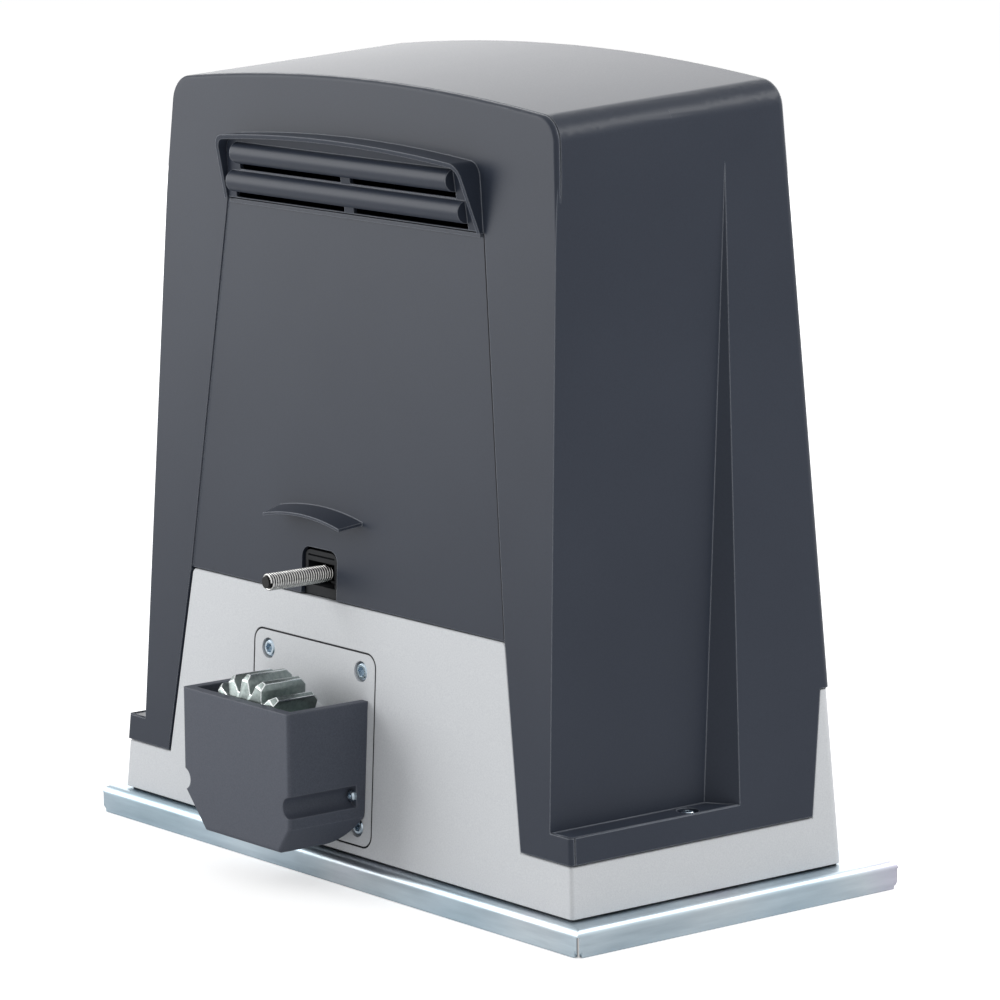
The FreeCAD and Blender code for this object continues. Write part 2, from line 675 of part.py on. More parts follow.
def casing():
    """Die-cast tub with the tall gate-side wall, the far wall and the drive's seat."""
    outer = envelope(0, BASE_Z, 0, FRONT_EDGE_RADIUS, BACK_EDGE_RADIUS)
    inner = envelope(CASING_WALL, FLOOR_TOP, 0, 0, 0)
    shell = outer.cut(inner).common(casing_region(0))

    def upper_rim(edge):
        """Edges of the shell's outer faces that the cover meets."""
        p = edge.valueAt(sum(edge.ParameterRange) / 2)
        on_front = abs(p.y - front_y(p.z)) < 0.02 and abs(p.x) < end_x(p.z) - FRONT_EDGE_RADIUS
        on_end = abs(abs(p.x) - end_x(p.z)) < 0.02 and abs(p.z - SPLIT_Z) < 0.02
        return p.z > SPLIT_Z - 1 and (on_front or on_end)
    shell = shell.makeChamfer(CASING_BEVEL, [e for e in shell.Edges if upper_rim(e)])
    reach_x = FLANGE_WIDTH / 2 + PAD_MARGIN
    reach_z = FLANGE_HEIGHT / 2 + PAD_MARGIN
    pad = box(FLANGE_X - reach_x, FLANGE_X + reach_x, -BIG, CASING_Y, BASE_Z, FLANGE_Z + reach_z)
    pad = pad.common(lean_slab(CASING_WALL / 2, PAD_THICKNESS, BASE_Z, FRONT_WALL_TOP))
    bosses = [pad]
    for x, y in cover_screw_places():
        bosses.append(rod_z(x, y, COVER_SCREW_WELL_R, BASE_Z, SPLIT_Z))
    for x, y in levelling_places():
        bosses.append(rod_z(x, y, LEVELLING_R + CASING_WALL, BASE_Z, FLOOR_TOP + CASING_WALL))
    pivot_y = back_y(AXIS_Z)
    bosses.append(rod_y(AXIS_X, AXIS_Z, PIVOT_R + CASING_WALL, pivot_y - PIVOT_R - CASING_WALL,
                        pivot_y - CASING_WALL / 2))
    body = fuse([shell] + [b.common(outer) for b in bosses])
    holes = [flange_block(FLANGE_GROOVE, -1, FLANGE_THICKNESS)]
    holes.append(rod_y(AXIS_X, AXIS_Z, FRONT_BEARING_R + GEARBOX_WALL + SEAM,
                       front_y(AXIS_Z) - 1, GEARBOX_FRONT_Y))
    for x, z in corner_points(FLANGE_SCREW_SPACING_X, FLANGE_SCREW_SPACING_Z, FLANGE_X, FLANGE_Z):
        holes.append(rod_y(x, z, FLANGE_SCREW_R, front_y(z) - 1, front_y(z) + PAD_THICKNESS - 2))
    for x, y in corner_points(ANCHOR_SPACING_X, ANCHOR_SPACING_Y, 0, CASING_Y):
        holes.append(rod_z(x, y, ANCHOR_HOLE_R, BASE_Z - 1, FLOOR_TOP + CASING_WALL + 1))
    for x, y in levelling_places():
        holes.append(rod_z(x, y, LEVELLING_R, BASE_Z - 1, FLOOR_TOP + CASING_WALL + 1))
    for x, y in cover_screw_places():
        holes.append(rod_z(x, y, COVER_SCREW_R, FLOOR_TOP, SPLIT_Z + 1))
    holes.append(rod_z(CABLE_X, CABLE_Y, CABLE_BUSH_R, BASE_Z - 1, FLOOR_TOP + 1))
    holes.append(rod_y(AXIS_X, AXIS_Z, PIVOT_R + RUNNING_CLEARANCE, pivot_y - BIG / 10, pivot_y + 1))
    return body.cut(fuse(holes))


def flange_plate():
    """Machined plate round the drive shaft, with the seal's boss."""
    plate = flange_block(0, 0, FLANGE_THICKNESS)
    face = front_y(AXIS_Z)
    boss = rod_y(AXIS_X, AXIS_Z, FLANGE_BOSS_R, face - FLANGE_BOSS_REACH, face + FLANGE_THICKNESS - 1)
    holes = [rod_y(AXIS_X, AXIS_Z, SHAFT_R + 1, face - BIG / 10, face + BIG / 10)]
    holes.append(rod_y(AXIS_X, AXIS_Z, SEAL_R, face - FLANGE_BOSS_REACH - 1,
                       face - FLANGE_BOSS_REACH + SEAL_WIDTH))
    for x, z in corner_points(FLANGE_SCREW_SPACING_X, FLANGE_SCREW_SPACING_Z, FLANGE_X, FLANGE_Z):
        holes.append(rod_y(x, z, FLANGE_SCREW_R, face - BIG / 10, face + BIG / 10))
        holes.append(rod_y(x, z, FLANGE_SCREW_WELL_R, face - BIG / 10, front_y(z) + FLANGE_SCREW_WELL))
    for x in guard_screw_xs():
        holes.append(rod_y(x, GROOVE_Z, GUARD_SCREW_R, face - BIG / 10, front_y(GROOVE_Z) + 5))
    return fuse([plate, boss]).cut(fuse(holes))


def socket_screw(r, head_r, head, length):
    """Socket-head screw standing on its tip at z = 0, head upwards."""
    shank = Part.makeCylinder(r, length)
    cap = Part.makeCylinder(head_r, head, Vector(0, 0, length))
    socket = prism_hexagon(0, 0, head_r * SOCKET_SHARE, length + head * SOCKET_FLOOR, length + head + 1)
    return fuse([shank, cap]).cut(socket)


def hexagon_screw(r, flat_r, head, length):
    """Hexagon-head screw standing on its tip at z = 0, head upwards."""
    return fuse([Part.makeCylinder(r, length), prism_hexagon(0, 0, flat_r, length, length + head)])


def flange_screws():
    screws = []
    head = FLANGE_SCREW_WELL - SCREW_CLEARANCE
    for x, z in corner_points(FLANGE_SCREW_SPACING_X, FLANGE_SCREW_SPACING_Z, FLANGE_X, FLANGE_Z):
        seat = front_y(z) + FLANGE_SCREW_WELL
        length = PAD_THICKNESS - FLANGE_SCREW_WELL - 3
        screw = socket_screw(FLANGE_SCREW_R, FLANGE_SCREW_HEAD_R, head, length)
        screws.append(turned_to_y(screw, x, seat + length, z))
    return group(screws)


# ---------------------------------------------------------------- pinion and guard
def tooth_outline(module, teeth, axis_x, axis_z, y, backlash, phase, root_depth, sag):
    """Gear outline as a wire: straight flanks, flat tips and sagging or straight roots."""
    pitch_r = module * teeth / 2
    tip_r = pitch_r + module
    root_r = pitch_r - root_depth * module
    slope = math.tan(math.radians(PRESSURE_ANGLE))
    half_pitch = math.pi * module / 4 - backlash / 2
    half_tip = half_pitch - slope * module
    half_root = half_pitch + slope * (pitch_r - root_r) * 0.8

    def at(radius, half, turn):
        angle = turn + half / radius
        return Vector(axis_x + radius * math.sin(angle), y, axis_z + radius * math.cos(angle))

    edges = []
    step = 2 * math.pi / teeth
    for i in range(teeth):
        turn = phase + i * step
        points = [at(root_r, -half_root, turn), at(pitch_r, -half_pitch, turn),
                  at(tip_r, -half_tip, turn), at(tip_r, half_tip, turn),
                  at(pitch_r, half_pitch, turn), at(root_r, half_root, turn)]
        edges += [Part.makeLine(a, b) for a, b in zip(points, points[1:])]
        valley_end = at(root_r, -half_root, turn + step)
        middle = at(root_r - sag * module, 0, turn + step / 2)
        if sag:
            edges.append(Part.Arc(points[-1], middle, valley_end).toShape())
        else:
            edges.append(Part.makeLine(points[-1], valley_end))
    return Part.Wire(edges)


def drive_pinion():
    """Steel spur pinion with its tooth ends chamfered so that the rack runs on."""
    outline = tooth_outline(PINION_MODULE, PINION_TEETH, AXIS_X, AXIS_Z, PINION_FRONT_Y,
                            PINION_BACKLASH, 0.0, PINION_ROOT_DEPTH, PINION_ROOT_SAG)
    blank = Part.Face(outline).extrude(Vector(0, PINION_WIDTH, 0))
    ends = rod_y(AXIS_X, AXIS_Z, PINION_TIP_R + 0.01, PINION_FRONT_Y, PINION_BACK_Y)
    ends = ends.makeChamfer(PINION_CHAMFER, [e for e in ends.Edges if not is_along(e, Vector(0, 1, 0))])
    gear = blank.common(ends)
    bore = rod_y(AXIS_X, AXIS_Z, PINION_BORE_R, PINION_FRONT_Y - 1, PINION_BACK_Y + 1)
    recess = rod_y(AXIS_X, AXIS_Z, PINION_RECESS_R, PINION_FRONT_Y - 1, PINION_FRONT_Y + PINION_RECESS)
    keyway = key_block(PINION_FRONT_Y, PINION_BACK_Y + 1)
    return gear.cut(fuse([bore, recess, keyway]))


def key_block(y0, y1):
    return box(AXIS_X - KEY_WIDTH / 2, AXIS_X + KEY_WIDTH / 2, y0, y1,
               AXIS_Z + PINION_BORE_R - KEY_DEPTH, AXIS_Z + PINION_BORE_R - KEY_DEPTH + KEY_WIDTH)


def pinion_key():
    return key_block(PINION_FRONT_Y + PINION_RECESS, PINION_BACK_Y - KEY_DEPTH)


def pinion_retainer():
    """Washer and screw in the pinion's recess that hold it on its shaft."""
    seat = PINION_FRONT_Y + PINION_RECESS
    face = seat - RETAINER_WASHER
    washer = rod_y(AXIS_X, AXIS_Z, PINION_RECESS_R - 1, face, seat)
    head = prism_hexagon(0, 0, RETAINER_FLAT_R, 0, RETAINER_HEAD)
    screw = rod_y(AXIS_X, AXIS_Z, TAPPED_R, face, seat + TAPPED_DEPTH)
    return fuse([washer, turned_to_y(head, AXIS_X, face, AXIS_Z), screw])


def guard_screw_xs():
    reach = GUARD_HALF - GUARD_SCREW_INSET
    return [AXIS_X - reach, AXIS_X + reach]


def guard_outline(inset):
    left, low_left = GUARD_CHAMFER_LEFT
    right, low_right = GUARD_CHAMFER_RIGHT
    half = GUARD_HALF - inset
    bottom = GUARD_BOTTOM + inset
    return [
        (AXIS_X - half, GUARD_TOP + inset),
        (AXIS_X - half, GUARD_BOTTOM + low_left + inset * 0.4),
        (AXIS_X - GUARD_HALF + left + inset * 0.4, bottom),
        (AXIS_X + GUARD_HALF - right - inset * 0.4, bottom),
        (AXIS_X + half, GUARD_BOTTOM + low_right + inset * 0.4),
        (AXIS_X + half, GUARD_TOP + inset),
    ]


def pinion_guard():
    """Box round the pinion, open at the top where the rack passes and at its back."""
    outer = prism_y(guard_outline(0), GUARD_FRONT_Y, CASING_Y)
    outer = outer.common(lean_slab(-BIG, 0, BASE_Z - PAD_MARGIN, FRONT_WALL_TOP))

    def rear_low(edge):
        middle = edge.valueAt(sum(edge.ParameterRange) / 2)
        at_back = abs(middle.y - front_y(middle.z)) < 0.05
        return at_back and middle.z < GUARD_BOTTOM + 0.5

    outer = fillet_where(outer, GUARD_REAR_RADIUS, rear_low)

    def front_edge(edge):
        middle = edge.valueAt(sum(edge.ParameterRange) / 2)
        ring = all(abs(v.Point.y - GUARD_FRONT_Y) < 0.05 for v in edge.Vertexes)
        return ring and middle.z < GUARD_TOP - 1

    outer = fillet_where(outer, GUARD_EDGE_RADIUS, front_edge)
    inner = prism_y(guard_outline(GUARD_WALL), GUARD_FRONT_Y + GUARD_WALL, CASING_Y)
    ribs = []
    grooves = []
    for side in (-1, 1):
        x = AXIS_X + side * GUARD_HALF
        rib = rod_y(x, GROOVE_Z, GROOVE_R + GUARD_WALL / 2, GUARD_FRONT_Y + 1, front_y(GROOVE_Z))
        ribs.append(rib.common(outer))
        grooves.append(rod_y(x, GROOVE_Z, GROOVE_R, GUARD_FRONT_Y - 1, front_y(GROOVE_Z) - GUARD_LUG))
    for x in guard_screw_xs():
        grooves.append(rod_y(x, GROOVE_Z, GUARD_SCREW_R, GUARD_FRONT_Y, CASING_Y))
    return fuse([outer.cut(inner)] + ribs).cut(fuse(grooves))


def guard_screws():
    screws = []
    for x in guard_screw_xs():
        seat = front_y(GROOVE_Z) - GUARD_LUG
        length = GUARD_LUG + 4
        screw = socket_screw(GUARD_SCREW_R, GUARD_SCREW_HEAD_R, GUARD_SCREW_HEAD, length)
        screws.append(turned_to_y(screw, x, seat + length, GROOVE_Z))
    return group(screws)


# ---------------------------------------------------------------- cover and panel
def vent_outline(inset, low):
    """Outline of the vent hood: leaning sides, rounded shoulders and an arched top."""
    slope = (PANEL_HALF_TOP - VENT_HALF_TOP) / (VENT_TOP - PANEL_TOP)

    def half(z):
        return VENT_HALF_TOP + slope * (VENT_TOP - z) - inset

    top = VENT_TOP - inset
    crown = Vector(0, 0, top + VENT_CROWN)
    right = Vector(half(top), 0, top)
    left = Vector(-half(top), 0, top)
    low_right = Vector(half(low), 0, low)
    low_left = Vector(-half(low), 0, low)
    return Part.Wire([Part.makeLine(low_left, low_right), Part.makeLine(low_right, right),
                      Part.Arc(right, crown, left).toShape(), Part.makeLine(left, low_left)])


def vent_block(inset, low):
    """The vent outline extruded along Y, with its upper corners rounded."""
    wire = vent_outline(inset, low)
    wire.translate(Vector(0, front_y(VENT_TOP) - HOOD_PROUD_TOP * 2, 0))
    block = Part.Face(wire).extrude(Vector(0, HOOD_PROUD_TOP * 4, 0))

    def shoulder(edge):
        return is_along(edge, Vector(0, 1, 0)) and edge.Vertexes[0].Point.z > PANEL_TOP + 10
    return fillet_where(block, VENT_CORNER_RADIUS - inset, shoulder)


def rim_slab(offset_low, offset_top, thickness, z0=PANEL_TOP, z1=VENT_TOP):
    """Slab behind the hood's rim plane, offset backwards at the low and top heights."""
    def rim_y(z):
        share = (z - z0) / (z1 - z0)
        low = front_y(z0) - HOOD_PROUD_LOW + offset_low
        top = front_y(z1) - HOOD_PROUD_TOP + offset_top
        return low + (top - low) * share

    z_low = z0 - HOOD_WALL
    z_high = z1 + VENT_CROWN + HOOD_WALL
    outline = [(rim_y(z_low), z_low), (rim_y(z_low) + thickness, z_low),
               (rim_y(z_high) + thickness, z_high), (rim_y(z_high), z_high)]
    return prism_x(outline, -BIG, BIG)


def vent_hood():
    ring = vent_block(0, PANEL_TOP).cut(vent_block(HOOD_WALL, PANEL_TOP - HOOD_WALL * 2))
    ring = ring.common(rim_slab(0, 0, BIG))
    return ring.common(lean_slab(-BIG, COVER_WALL - COVER_PROUD, PANEL_TOP - HOOD_WALL, CROWN_Z))


def panel_area(grow):
    """The gate-side opening between the casing's wall and the vent, enlarged by grow."""
    outline = trapezoid(FRONT_WALL_HALF_TOP, PANEL_HALF_TOP, FRONT_WALL_TOP, PANEL_TOP, grow)
    return prism_y(outline, -BIG, CASING_Y)


def rim_groove():
    """Shallow groove round the cover's top and ends, just behind its front face."""
    near = RIM_GROOVE_BACK - COVER_PROUD
    ring = lean_slab(near, near + RIM_GROOVE_WIDTH, SPLIT_Z, CROWN_Z + 2 * TOP_RISE)
    return ring.cut(envelope(RIM_GROOVE_DEPTH - COVER_PROUD, SPLIT_Z - 1,
                             TOP_END_RADIUS - RIM_GROOVE_DEPTH, 0, 0))


def cover():
    """Moulded hood that lifts off upwards and reaches down over the casing's ends."""
    outer = envelope(-COVER_PROUD, SPLIT_Z, TOP_END_RADIUS, FRONT_EDGE_RADIUS, BACK_EDGE_RADIUS)
    inner = envelope(COVER_WALL - COVER_PROUD, SPLIT_Z - 1, TOP_END_RADIUS - COVER_WALL, 0, 0)
    outer = outer.cut(rim_groove()).cut(fuse(both_ends(end_recess(0))))
    inner = inner.cut(fuse(both_ends(end_recess(COVER_WALL))))
    shell = outer.cut(inner).cut(casing_region(SEAM)).cut(panel_area(SEAM))
    shell = shell.cut(vent_block(HOOD_WALL, PANEL_TOP))
    posts = []
    wells = []
    for x, y in cover_screw_places():
        seat = LEDGE_Z - COVER_WALL - COVER_SCREW_HEAD / 2
        post = rod_z(x, y, COVER_SCREW_WELL_R + COVER_WALL / 2, SPLIT_Z + SEAM, LEDGE_Z - 1)
        posts.append(post.common(outer))
        wells.append(rod_z(x, y, COVER_SCREW_R + SCREW_CLEARANCE, SPLIT_Z, LEDGE_Z + 1))
        wells.append(rod_z(x, y, COVER_SCREW_WELL_R, seat, LEDGE_Z + 1))
    return fuse([shell, vent_hood()] + posts).cut(fuse(wells))


def cover_screws():
    screws = []
    for x, y in cover_screw_places():
        seat = LEDGE_Z - COVER_WALL - COVER_SCREW_HEAD / 2
        length = seat - FLOOR_TOP - 2
        screw = socket_screw(COVER_SCREW_R, COVER_SCREW_HEAD_R, COVER_SCREW_HEAD, length)
        screw.translate(Vector(x, y, seat - length))
        screws.append(screw)
    return group(screws)


def window_block(grow, y0, y1):
    """Window for the limit arm, open below and rounded above."""
    half = WINDOW_WIDTH / 2 + grow
    block = box(ARM_X - half, ARM_X + half, y0, y1, FRONT_WALL_TOP - 20, WINDOW_TOP + grow)

    def shoulder(edge):
        return is_along(edge, Vector(0, 1, 0)) and edge.Vertexes[0].Point.z > ARM_Z
    return fillet_where(block, WINDOW_RADIUS + grow, shoulder)


def brow():
    """Thin arched drip lip over the limit arm."""
    def arc_wire(y, z_top, width, thickness_down):
        half = width / 2
        ends = z_top - BROW_SAGITTA
        a = Vector(ARM_X - half, y, ends)
        b = Vector(ARM_X, y, z_top)
        c = Vector(ARM_X + half, y, ends)
        low = Vector(0, 0, -thickness_down)
        return Part.Wire([Part.Arc(a, b, c).toShape(), Part.makeLine(c, c + low),
                          Part.Arc(c + low, b + low, a + low).toShape(), Part.makeLine(a + low, a)])

    root = front_y(BROW_Z)
    rear = arc_wire(root + PANEL_THICKNESS / 2, BROW_Z, BROW_WIDTH, BROW_THICKNESS)
    front = arc_wire(root - BROW_REACH, BROW_Z - BROW_DROP, BROW_WIDTH_FRONT, BROW_THICKNESS * 0.8)
    return Part.makeLoft([rear, front], True, True)


def gate_side_panel():
    """Removable centre panel with the limit arm's window and drip lip."""
    outline = trapezoid(FRONT_WALL_HALF_TOP, PANEL_HALF_TOP, FRONT_WALL_TOP + SEAM, PANEL_TOP)
    slab = prism_y(outline, -BIG, CASING_Y).common(lean_slab(0, PANEL_THICKNESS, BASE_Z, CROWN_Z))
    lip_low = PANEL_TOP - PANEL_LIP
    half = PANEL_HALF_TOP - PANEL_LIP_INSET
    lip = prism_y(trapezoid(half, half, lip_low, PANEL_TOP), -BIG, CASING_Y)
    lip = lip.common(lean_slab(-PANEL_LIP_PROUD, PANEL_THICKNESS, lip_low, PANEL_TOP))
    return fuse([slab, lip, brow()]).cut(window_block(0, -BIG, CASING_Y))


def louvre_plate():
    """Vent plate with two half-round louvres, each over a slot split by a web."""
    sheet = rim_slab(LOUVRE_BACK_LOW, LOUVRE_BACK_TOP, LOUVRE_SHEET)
    shape = vent_block(HOOD_WALL + 0.2, PANEL_TOP + SEAM)
    plate = sheet.common(shape)
    slope = (LOUVRE_BACK_TOP - HOOD_PROUD_TOP - LOUVRE_BACK_LOW + HOOD_PROUD_LOW)
    slope = (slope + front_y(VENT_TOP) - front_y(PANEL_TOP)) / (VENT_TOP - PANEL_TOP)
    bars = []
    slots = []
    for z, half in zip(LOUVRE_Z, LOUVRE_HALF):
        y = front_y(PANEL_TOP) - HOOD_PROUD_LOW + LOUVRE_BACK_LOW + slope * (z - PANEL_TOP)
        bar = rod_x(y, z, LOUVRE_R, -half, half)
        bars.append(bar.cut(box(-BIG, BIG, y + LOUVRE_SHEET / 2, BIG, z - BIG, z + BIG)))
        low = z - LOUVRE_R - LOUVRE_SLOT
        for x0, x1 in ((-half, -LOUVRE_WEB / 2), (LOUVRE_WEB / 2, half)):
            slots.append(box(x0, x1, y - LOUVRE_R, y + LOUVRE_R * 2, low, low + LOUVRE_SLOT))
    return fuse([plate] + bars).cut(fuse(slots))


# ---------------------------------------------------------------- limit switch
def limit_switch_housing():
    """Moulded box behind the window that carries the arm's pivot and the switches."""
    half = WINDOW_WIDTH / 2 - SWITCH_GAP
    top = WINDOW_TOP - SWITCH_GAP
    face = front_y(ARM_Z) + SWITCH_GAP
    low = FRONT_WALL_TOP + SEAM
    block = box(ARM_X - half, ARM_X + half, face, face + SWITCH_DEPTH, low, top)

    def shoulder(edge):
        return is_along(edge, Vector(0, 1, 0)) and edge.Vertexes[0].Point.z > ARM_Z
    block = fillet_where(block, WINDOW_RADIUS - SWITCH_GAP, shoulder)
    mouth_low = ARM_Z - SPRING_R - MOUTH_ROOM
    mouth_top = top - SWITCH_WALL
    mouth = box(ARM_X - half + SWITCH_WALL, ARM_X + half - SWITCH_WALL, face - 1,
                face + SWITCH_DEPTH - SWITCH_WALL, mouth_low, mouth_top)
    tongue_y = front_y(FRONT_WALL_TOP) + CASING_WALL + SWITCH_TONGUE_GAP
    tongue = box(ARM_X - half, ARM_X + half, tongue_y, tongue_y + SWITCH_WALL,
                 FRONT_WALL_TOP - SWITCH_TONGUE, low + 1)
    eave_low = mouth_top - SWITCH_EAVE_RISE
    eave = prism_x([(face, eave_low), (face + SWITCH_EAVE, mouth_top), (face + SWITCH_EAVE, top - 1),
                    (face, eave_low + SWITCH_WALL)], ARM_X - half + 1, ARM_X + half - 1)
    pin = rod_z(ARM_X, ARM_PIVOT_Y, ARM_PIN_R, mouth_low - 1, top - 1)
    return fuse([block.cut(mouth), tongue, eave, pin])


def limit_spring():
    """Close-wound spring that lets the arm give way, as its outer tube."""
    start = ARM_PIVOT_Y - ARM_SOCKET
    tube = rod_y(ARM_X, ARM_Z, SPRING_R, ARM_TIP_Y + ARM_PLUG_SINK, start)
    return tube.cut(rod_y(ARM_X, ARM_Z, SPRING_R - SPRING_WIRE, ARM_TIP_Y - 1, start + 1))


def limit_arm_core():
    """Rod inside the spring, with the plug that closes the spring's tip."""
    plug_y = ARM_TIP_Y + ARM_PLUG
    rod = rod_y(ARM_X, ARM_Z, ARM_CORE_R, plug_y, ARM_PIVOT_Y - ARM_SOCKET / 2)
    return fuse([rod, rod_y(ARM_X, ARM_Z, SPRING_R - SPRING_WIRE, ARM_TIP_Y, plug_y)])


def limit_pivot():
    """Hub that turns on the housing's pin and holds the arm."""
    hub = rod_z(ARM_X, ARM_PIVOT_Y, ARM_HUB_R, ARM_Z - SPRING_R - ARM_HUB_LEDGE, ARM_Z + SPRING_R)
    socket = rod_y(ARM_X, ARM_Z, SPRING_R, ARM_PIVOT_Y - ARM_SOCKET, ARM_PIVOT_Y)
    cam_low, cam_top = ARM_CAM_Z
    cam = box(ARM_X - ARM_CAM_WIDTH / 2, ARM_X + ARM_CAM_WIDTH / 2, ARM_PIVOT_Y,
              ARM_PIVOT_Y + ARM_CAM_REACH, ARM_Z + cam_low, ARM_Z + cam_top)
    hole = rod_z(ARM_X, ARM_PIVOT_Y, ARM_PIN_R + RUNNING_CLEARANCE, ARM_Z - BIG, ARM_Z + BIG)
    core = rod_y(ARM_X, ARM_Z, ARM_CORE_R, ARM_TIP_Y, ARM_PIVOT_Y - ARM_SOCKET / 2)
    return fuse([hub, socket, cam]).cut(hole).cut(core)


def limit_microswitches():
    """Two snap switches, one above the other on the housing's side."""
    wall_x = ARM_X - WINDOW_WIDTH / 2 + SWITCH_GAP
    near = front_y(ARM_Z) + SWITCH_GAP + SNAP_SWITCH_Y
    width, depth, height = SNAP_SWITCH
    sheet, length = SNAP_PIN
    low = FRONT_WALL_TOP + SNAP_SWITCH_Z
    lower = box(wall_x - width, wall_x, near, near + depth, low, low + height)
    low += SNAP_SWITCH_PITCH
    upper = [box(wall_x - width, wall_x, near, near + depth, low, low + height)]
    for y in SNAP_PIN_Y:
        upper.append(box(wall_x - width / 2 - sheet, wall_x - width / 2, near + y, near + y + length,
                         low + height - sheet, low + height + sheet))
    return group([lower, fuse(upper)])


# ---------------------------------------------------------------- output shaft
def output_shaft():
    """Stepped shaft from the pinion through the gearbox, hollow at its far end."""
    steps = [
        (PINION_BORE_R, PINION_FRONT_Y + PINION_RECESS, PINION_BACK_Y),
        (SHAFT_R, PINION_BACK_Y, WHEEL_Y + WHEEL_HUB_WIDTH / 2),
        (REAR_JOURNAL_R, WHEEL_Y + WHEEL_HUB_WIDTH / 2, GEARBOX_COVER_Y + SHAFT_TAIL),
    ]
    body = fuse([rod_y(AXIS_X, AXIS_Z, r, y0, y1) for r, y0, y1 in steps])
    bore = rod_y(AXIS_X, AXIS_Z, RELEASE_ROD_R + RUNNING_CLEARANCE, WHEEL_Y - RELEASE_BORE_DEEP,
                 GEARBOX_COVER_Y + SHAFT_TAIL + 1)
    tapped = rod_y(AXIS_X, AXIS_Z, TAPPED_R, PINION_FRONT_Y, PINION_FRONT_Y + PINION_RECESS + TAPPED_DEPTH)
    return body.cut(fuse([bore, tapped, pinion_key()]))


def bearing_y(x, z, inner_r, outer_r, y0, width):
    """Closed ball bearing along Y as one ring."""
    body = rod_y(x, z, outer_r, y0, y0 + width)
    return body.cut(rod_y(x, z, inner_r, y0 - 1, y0 + width + 1))


def bearing_z(x, y, inner_r, outer_r, z0, width):
    upright = bearing_y(0, 0, inner_r, outer_r, 0, width)
    upright.rotate(Vector(0, 0, 0), Vector(1, 0, 0), 90)
    upright.translate(Vector(x, y, z0))
    return upright


def front_bearing_y():
    return front_y(AXIS_Z + FRONT_BEARING_R + GEARBOX_WALL) + FLANGE_THICKNESS


def front_bearing():
    return bearing_y(AXIS_X, AXIS_Z, SHAFT_R + RUNNING_CLEARANCE, FRONT_BEARING_R,
                     front_bearing_y(), FRONT_BEARING_WIDTH)


def rear_bearing():
    return bearing_y(AXIS_X, AXIS_Z, REAR_JOURNAL_R + RUNNING_CLEARANCE, REAR_BEARING_R,
                     GEARBOX_COVER_Y + REAR_BOSS - REAR_BEARING_WIDTH, REAR_BEARING_WIDTH)


def shaft_seal():
    face = front_y(AXIS_Z) - FLANGE_BOSS_REACH
    ring = rod_y(AXIS_X, AXIS_Z, SEAL_R, face, face + SEAL_WIDTH)
    return ring.cut(rod_y(AXIS_X, AXIS_Z, SHAFT_R + RUNNING_CLEARANCE, face - 1, face + SEAL_WIDTH + 1))


def worm_wheel():
    """Bronze wheel: helical teeth, web and hub."""
    lead = WORM_MODULE / (2 * WORM_PITCH_R)
    twist = WHEEL_WIDTH * lead / WHEEL_R
    wires = []
    for side in (-1, 1):
        wires.append(tooth_outline(WORM_MODULE, WHEEL_TEETH, AXIS_X, AXIS_Z,
                                   WHEEL_Y + side * WHEEL_WIDTH / 2, WORM_BACKLASH,
                                   math.pi / 2 + side * twist / 2, WORM_ROOT_DEPTH, 0))
    gear = Part.makeLoft(wires, True, True)
    hub_half = WHEEL_HUB_WIDTH / 2 - WHEEL_HUB_END_PLAY
    hub = rod_y(AXIS_X, AXIS_Z, WHEEL_HUB_R, WHEEL_Y - hub_half, WHEEL_Y + hub_half)
    bore = rod_y(AXIS_X, AXIS_Z, SHAFT_R, WHEEL_Y - BIG / 10, WHEEL_Y + BIG / 10)
    return fuse([gear, hub]).cut(bore)


def worm_shaft():
    """Steel worm with its journals, carried on up into the rotor."""
    root_r = WORM_PITCH_R - WORM_ROOT_DEPTH * WORM_MODULE
    tip_r = WORM_PITCH_R + WORM_MODULE
    low = AXIS_Z - WORM_LENGTH / 2
    slope = math.tan(math.radians(PRESSURE_ANGLE))
    half_pitch = WORM_PITCH / 4 - WORM_BACKLASH / 4
    half_tip = half_pitch - slope * WORM_MODULE
    half_root = half_pitch + slope * (WORM_PITCH_R - root_r)
    height = 2 * WORM_PITCH * math.ceil(WORM_THREAD_LENGTH / (2 * WORM_PITCH))
    helix = Part.makeHelix(WORM_PITCH, height, WORM_PITCH_R)
    sink = 0.3
    corners = [Vector(root_r - sink, 0, -half_root), Vector(tip_r, 0, -half_tip),
               Vector(tip_r, 0, half_tip), Vector(root_r - sink, 0, half_root)]
    section = Part.makePolygon(corners + corners[:1])
    thread = Part.Wire(helix).makePipeShell([section], True, True)
    thread.translate(Vector(WORM_X, WHEEL_Y, AXIS_Z - height / 2))
    core = rod_z(WORM_X, WHEEL_Y, root_r, low, AXIS_Z + WORM_LENGTH / 2)
    trimmed = thread.common(rod_z(WORM_X, WHEEL_Y, tip_r + 1, AXIS_Z - WORM_THREAD_LENGTH / 2,
                                  AXIS_Z + WORM_THREAD_LENGTH / 2))
    journal = rod_z(WORM_X, WHEEL_Y, WORM_JOURNAL_R, worm_low_z(), MOTOR_TOP_Z + END_CAP / 2)
    return fuse([core, trimmed, journal])


def worm_low_z():
    return AXIS_Z - WORM_LENGTH / 2 - WORM_BEARING_WIDTH


def worm_bearings():
    """The worm's lower and upper bearings."""
    inner = WORM_JOURNAL_R + RUNNING_CLEARANCE
    low = bearing_z(WORM_X, WHEEL_Y, inner, WORM_BEARING_R, worm_low_z() - BEARING_GAP, WORM_BEARING_WIDTH)
    high = bearing_z(WORM_X, WHEEL_Y, inner, WORM_BEARING_R, AXIS_Z + WORM_LENGTH / 2 + BEARING_GAP,
                     WORM_BEARING_WIDTH)
    return group([low, high])


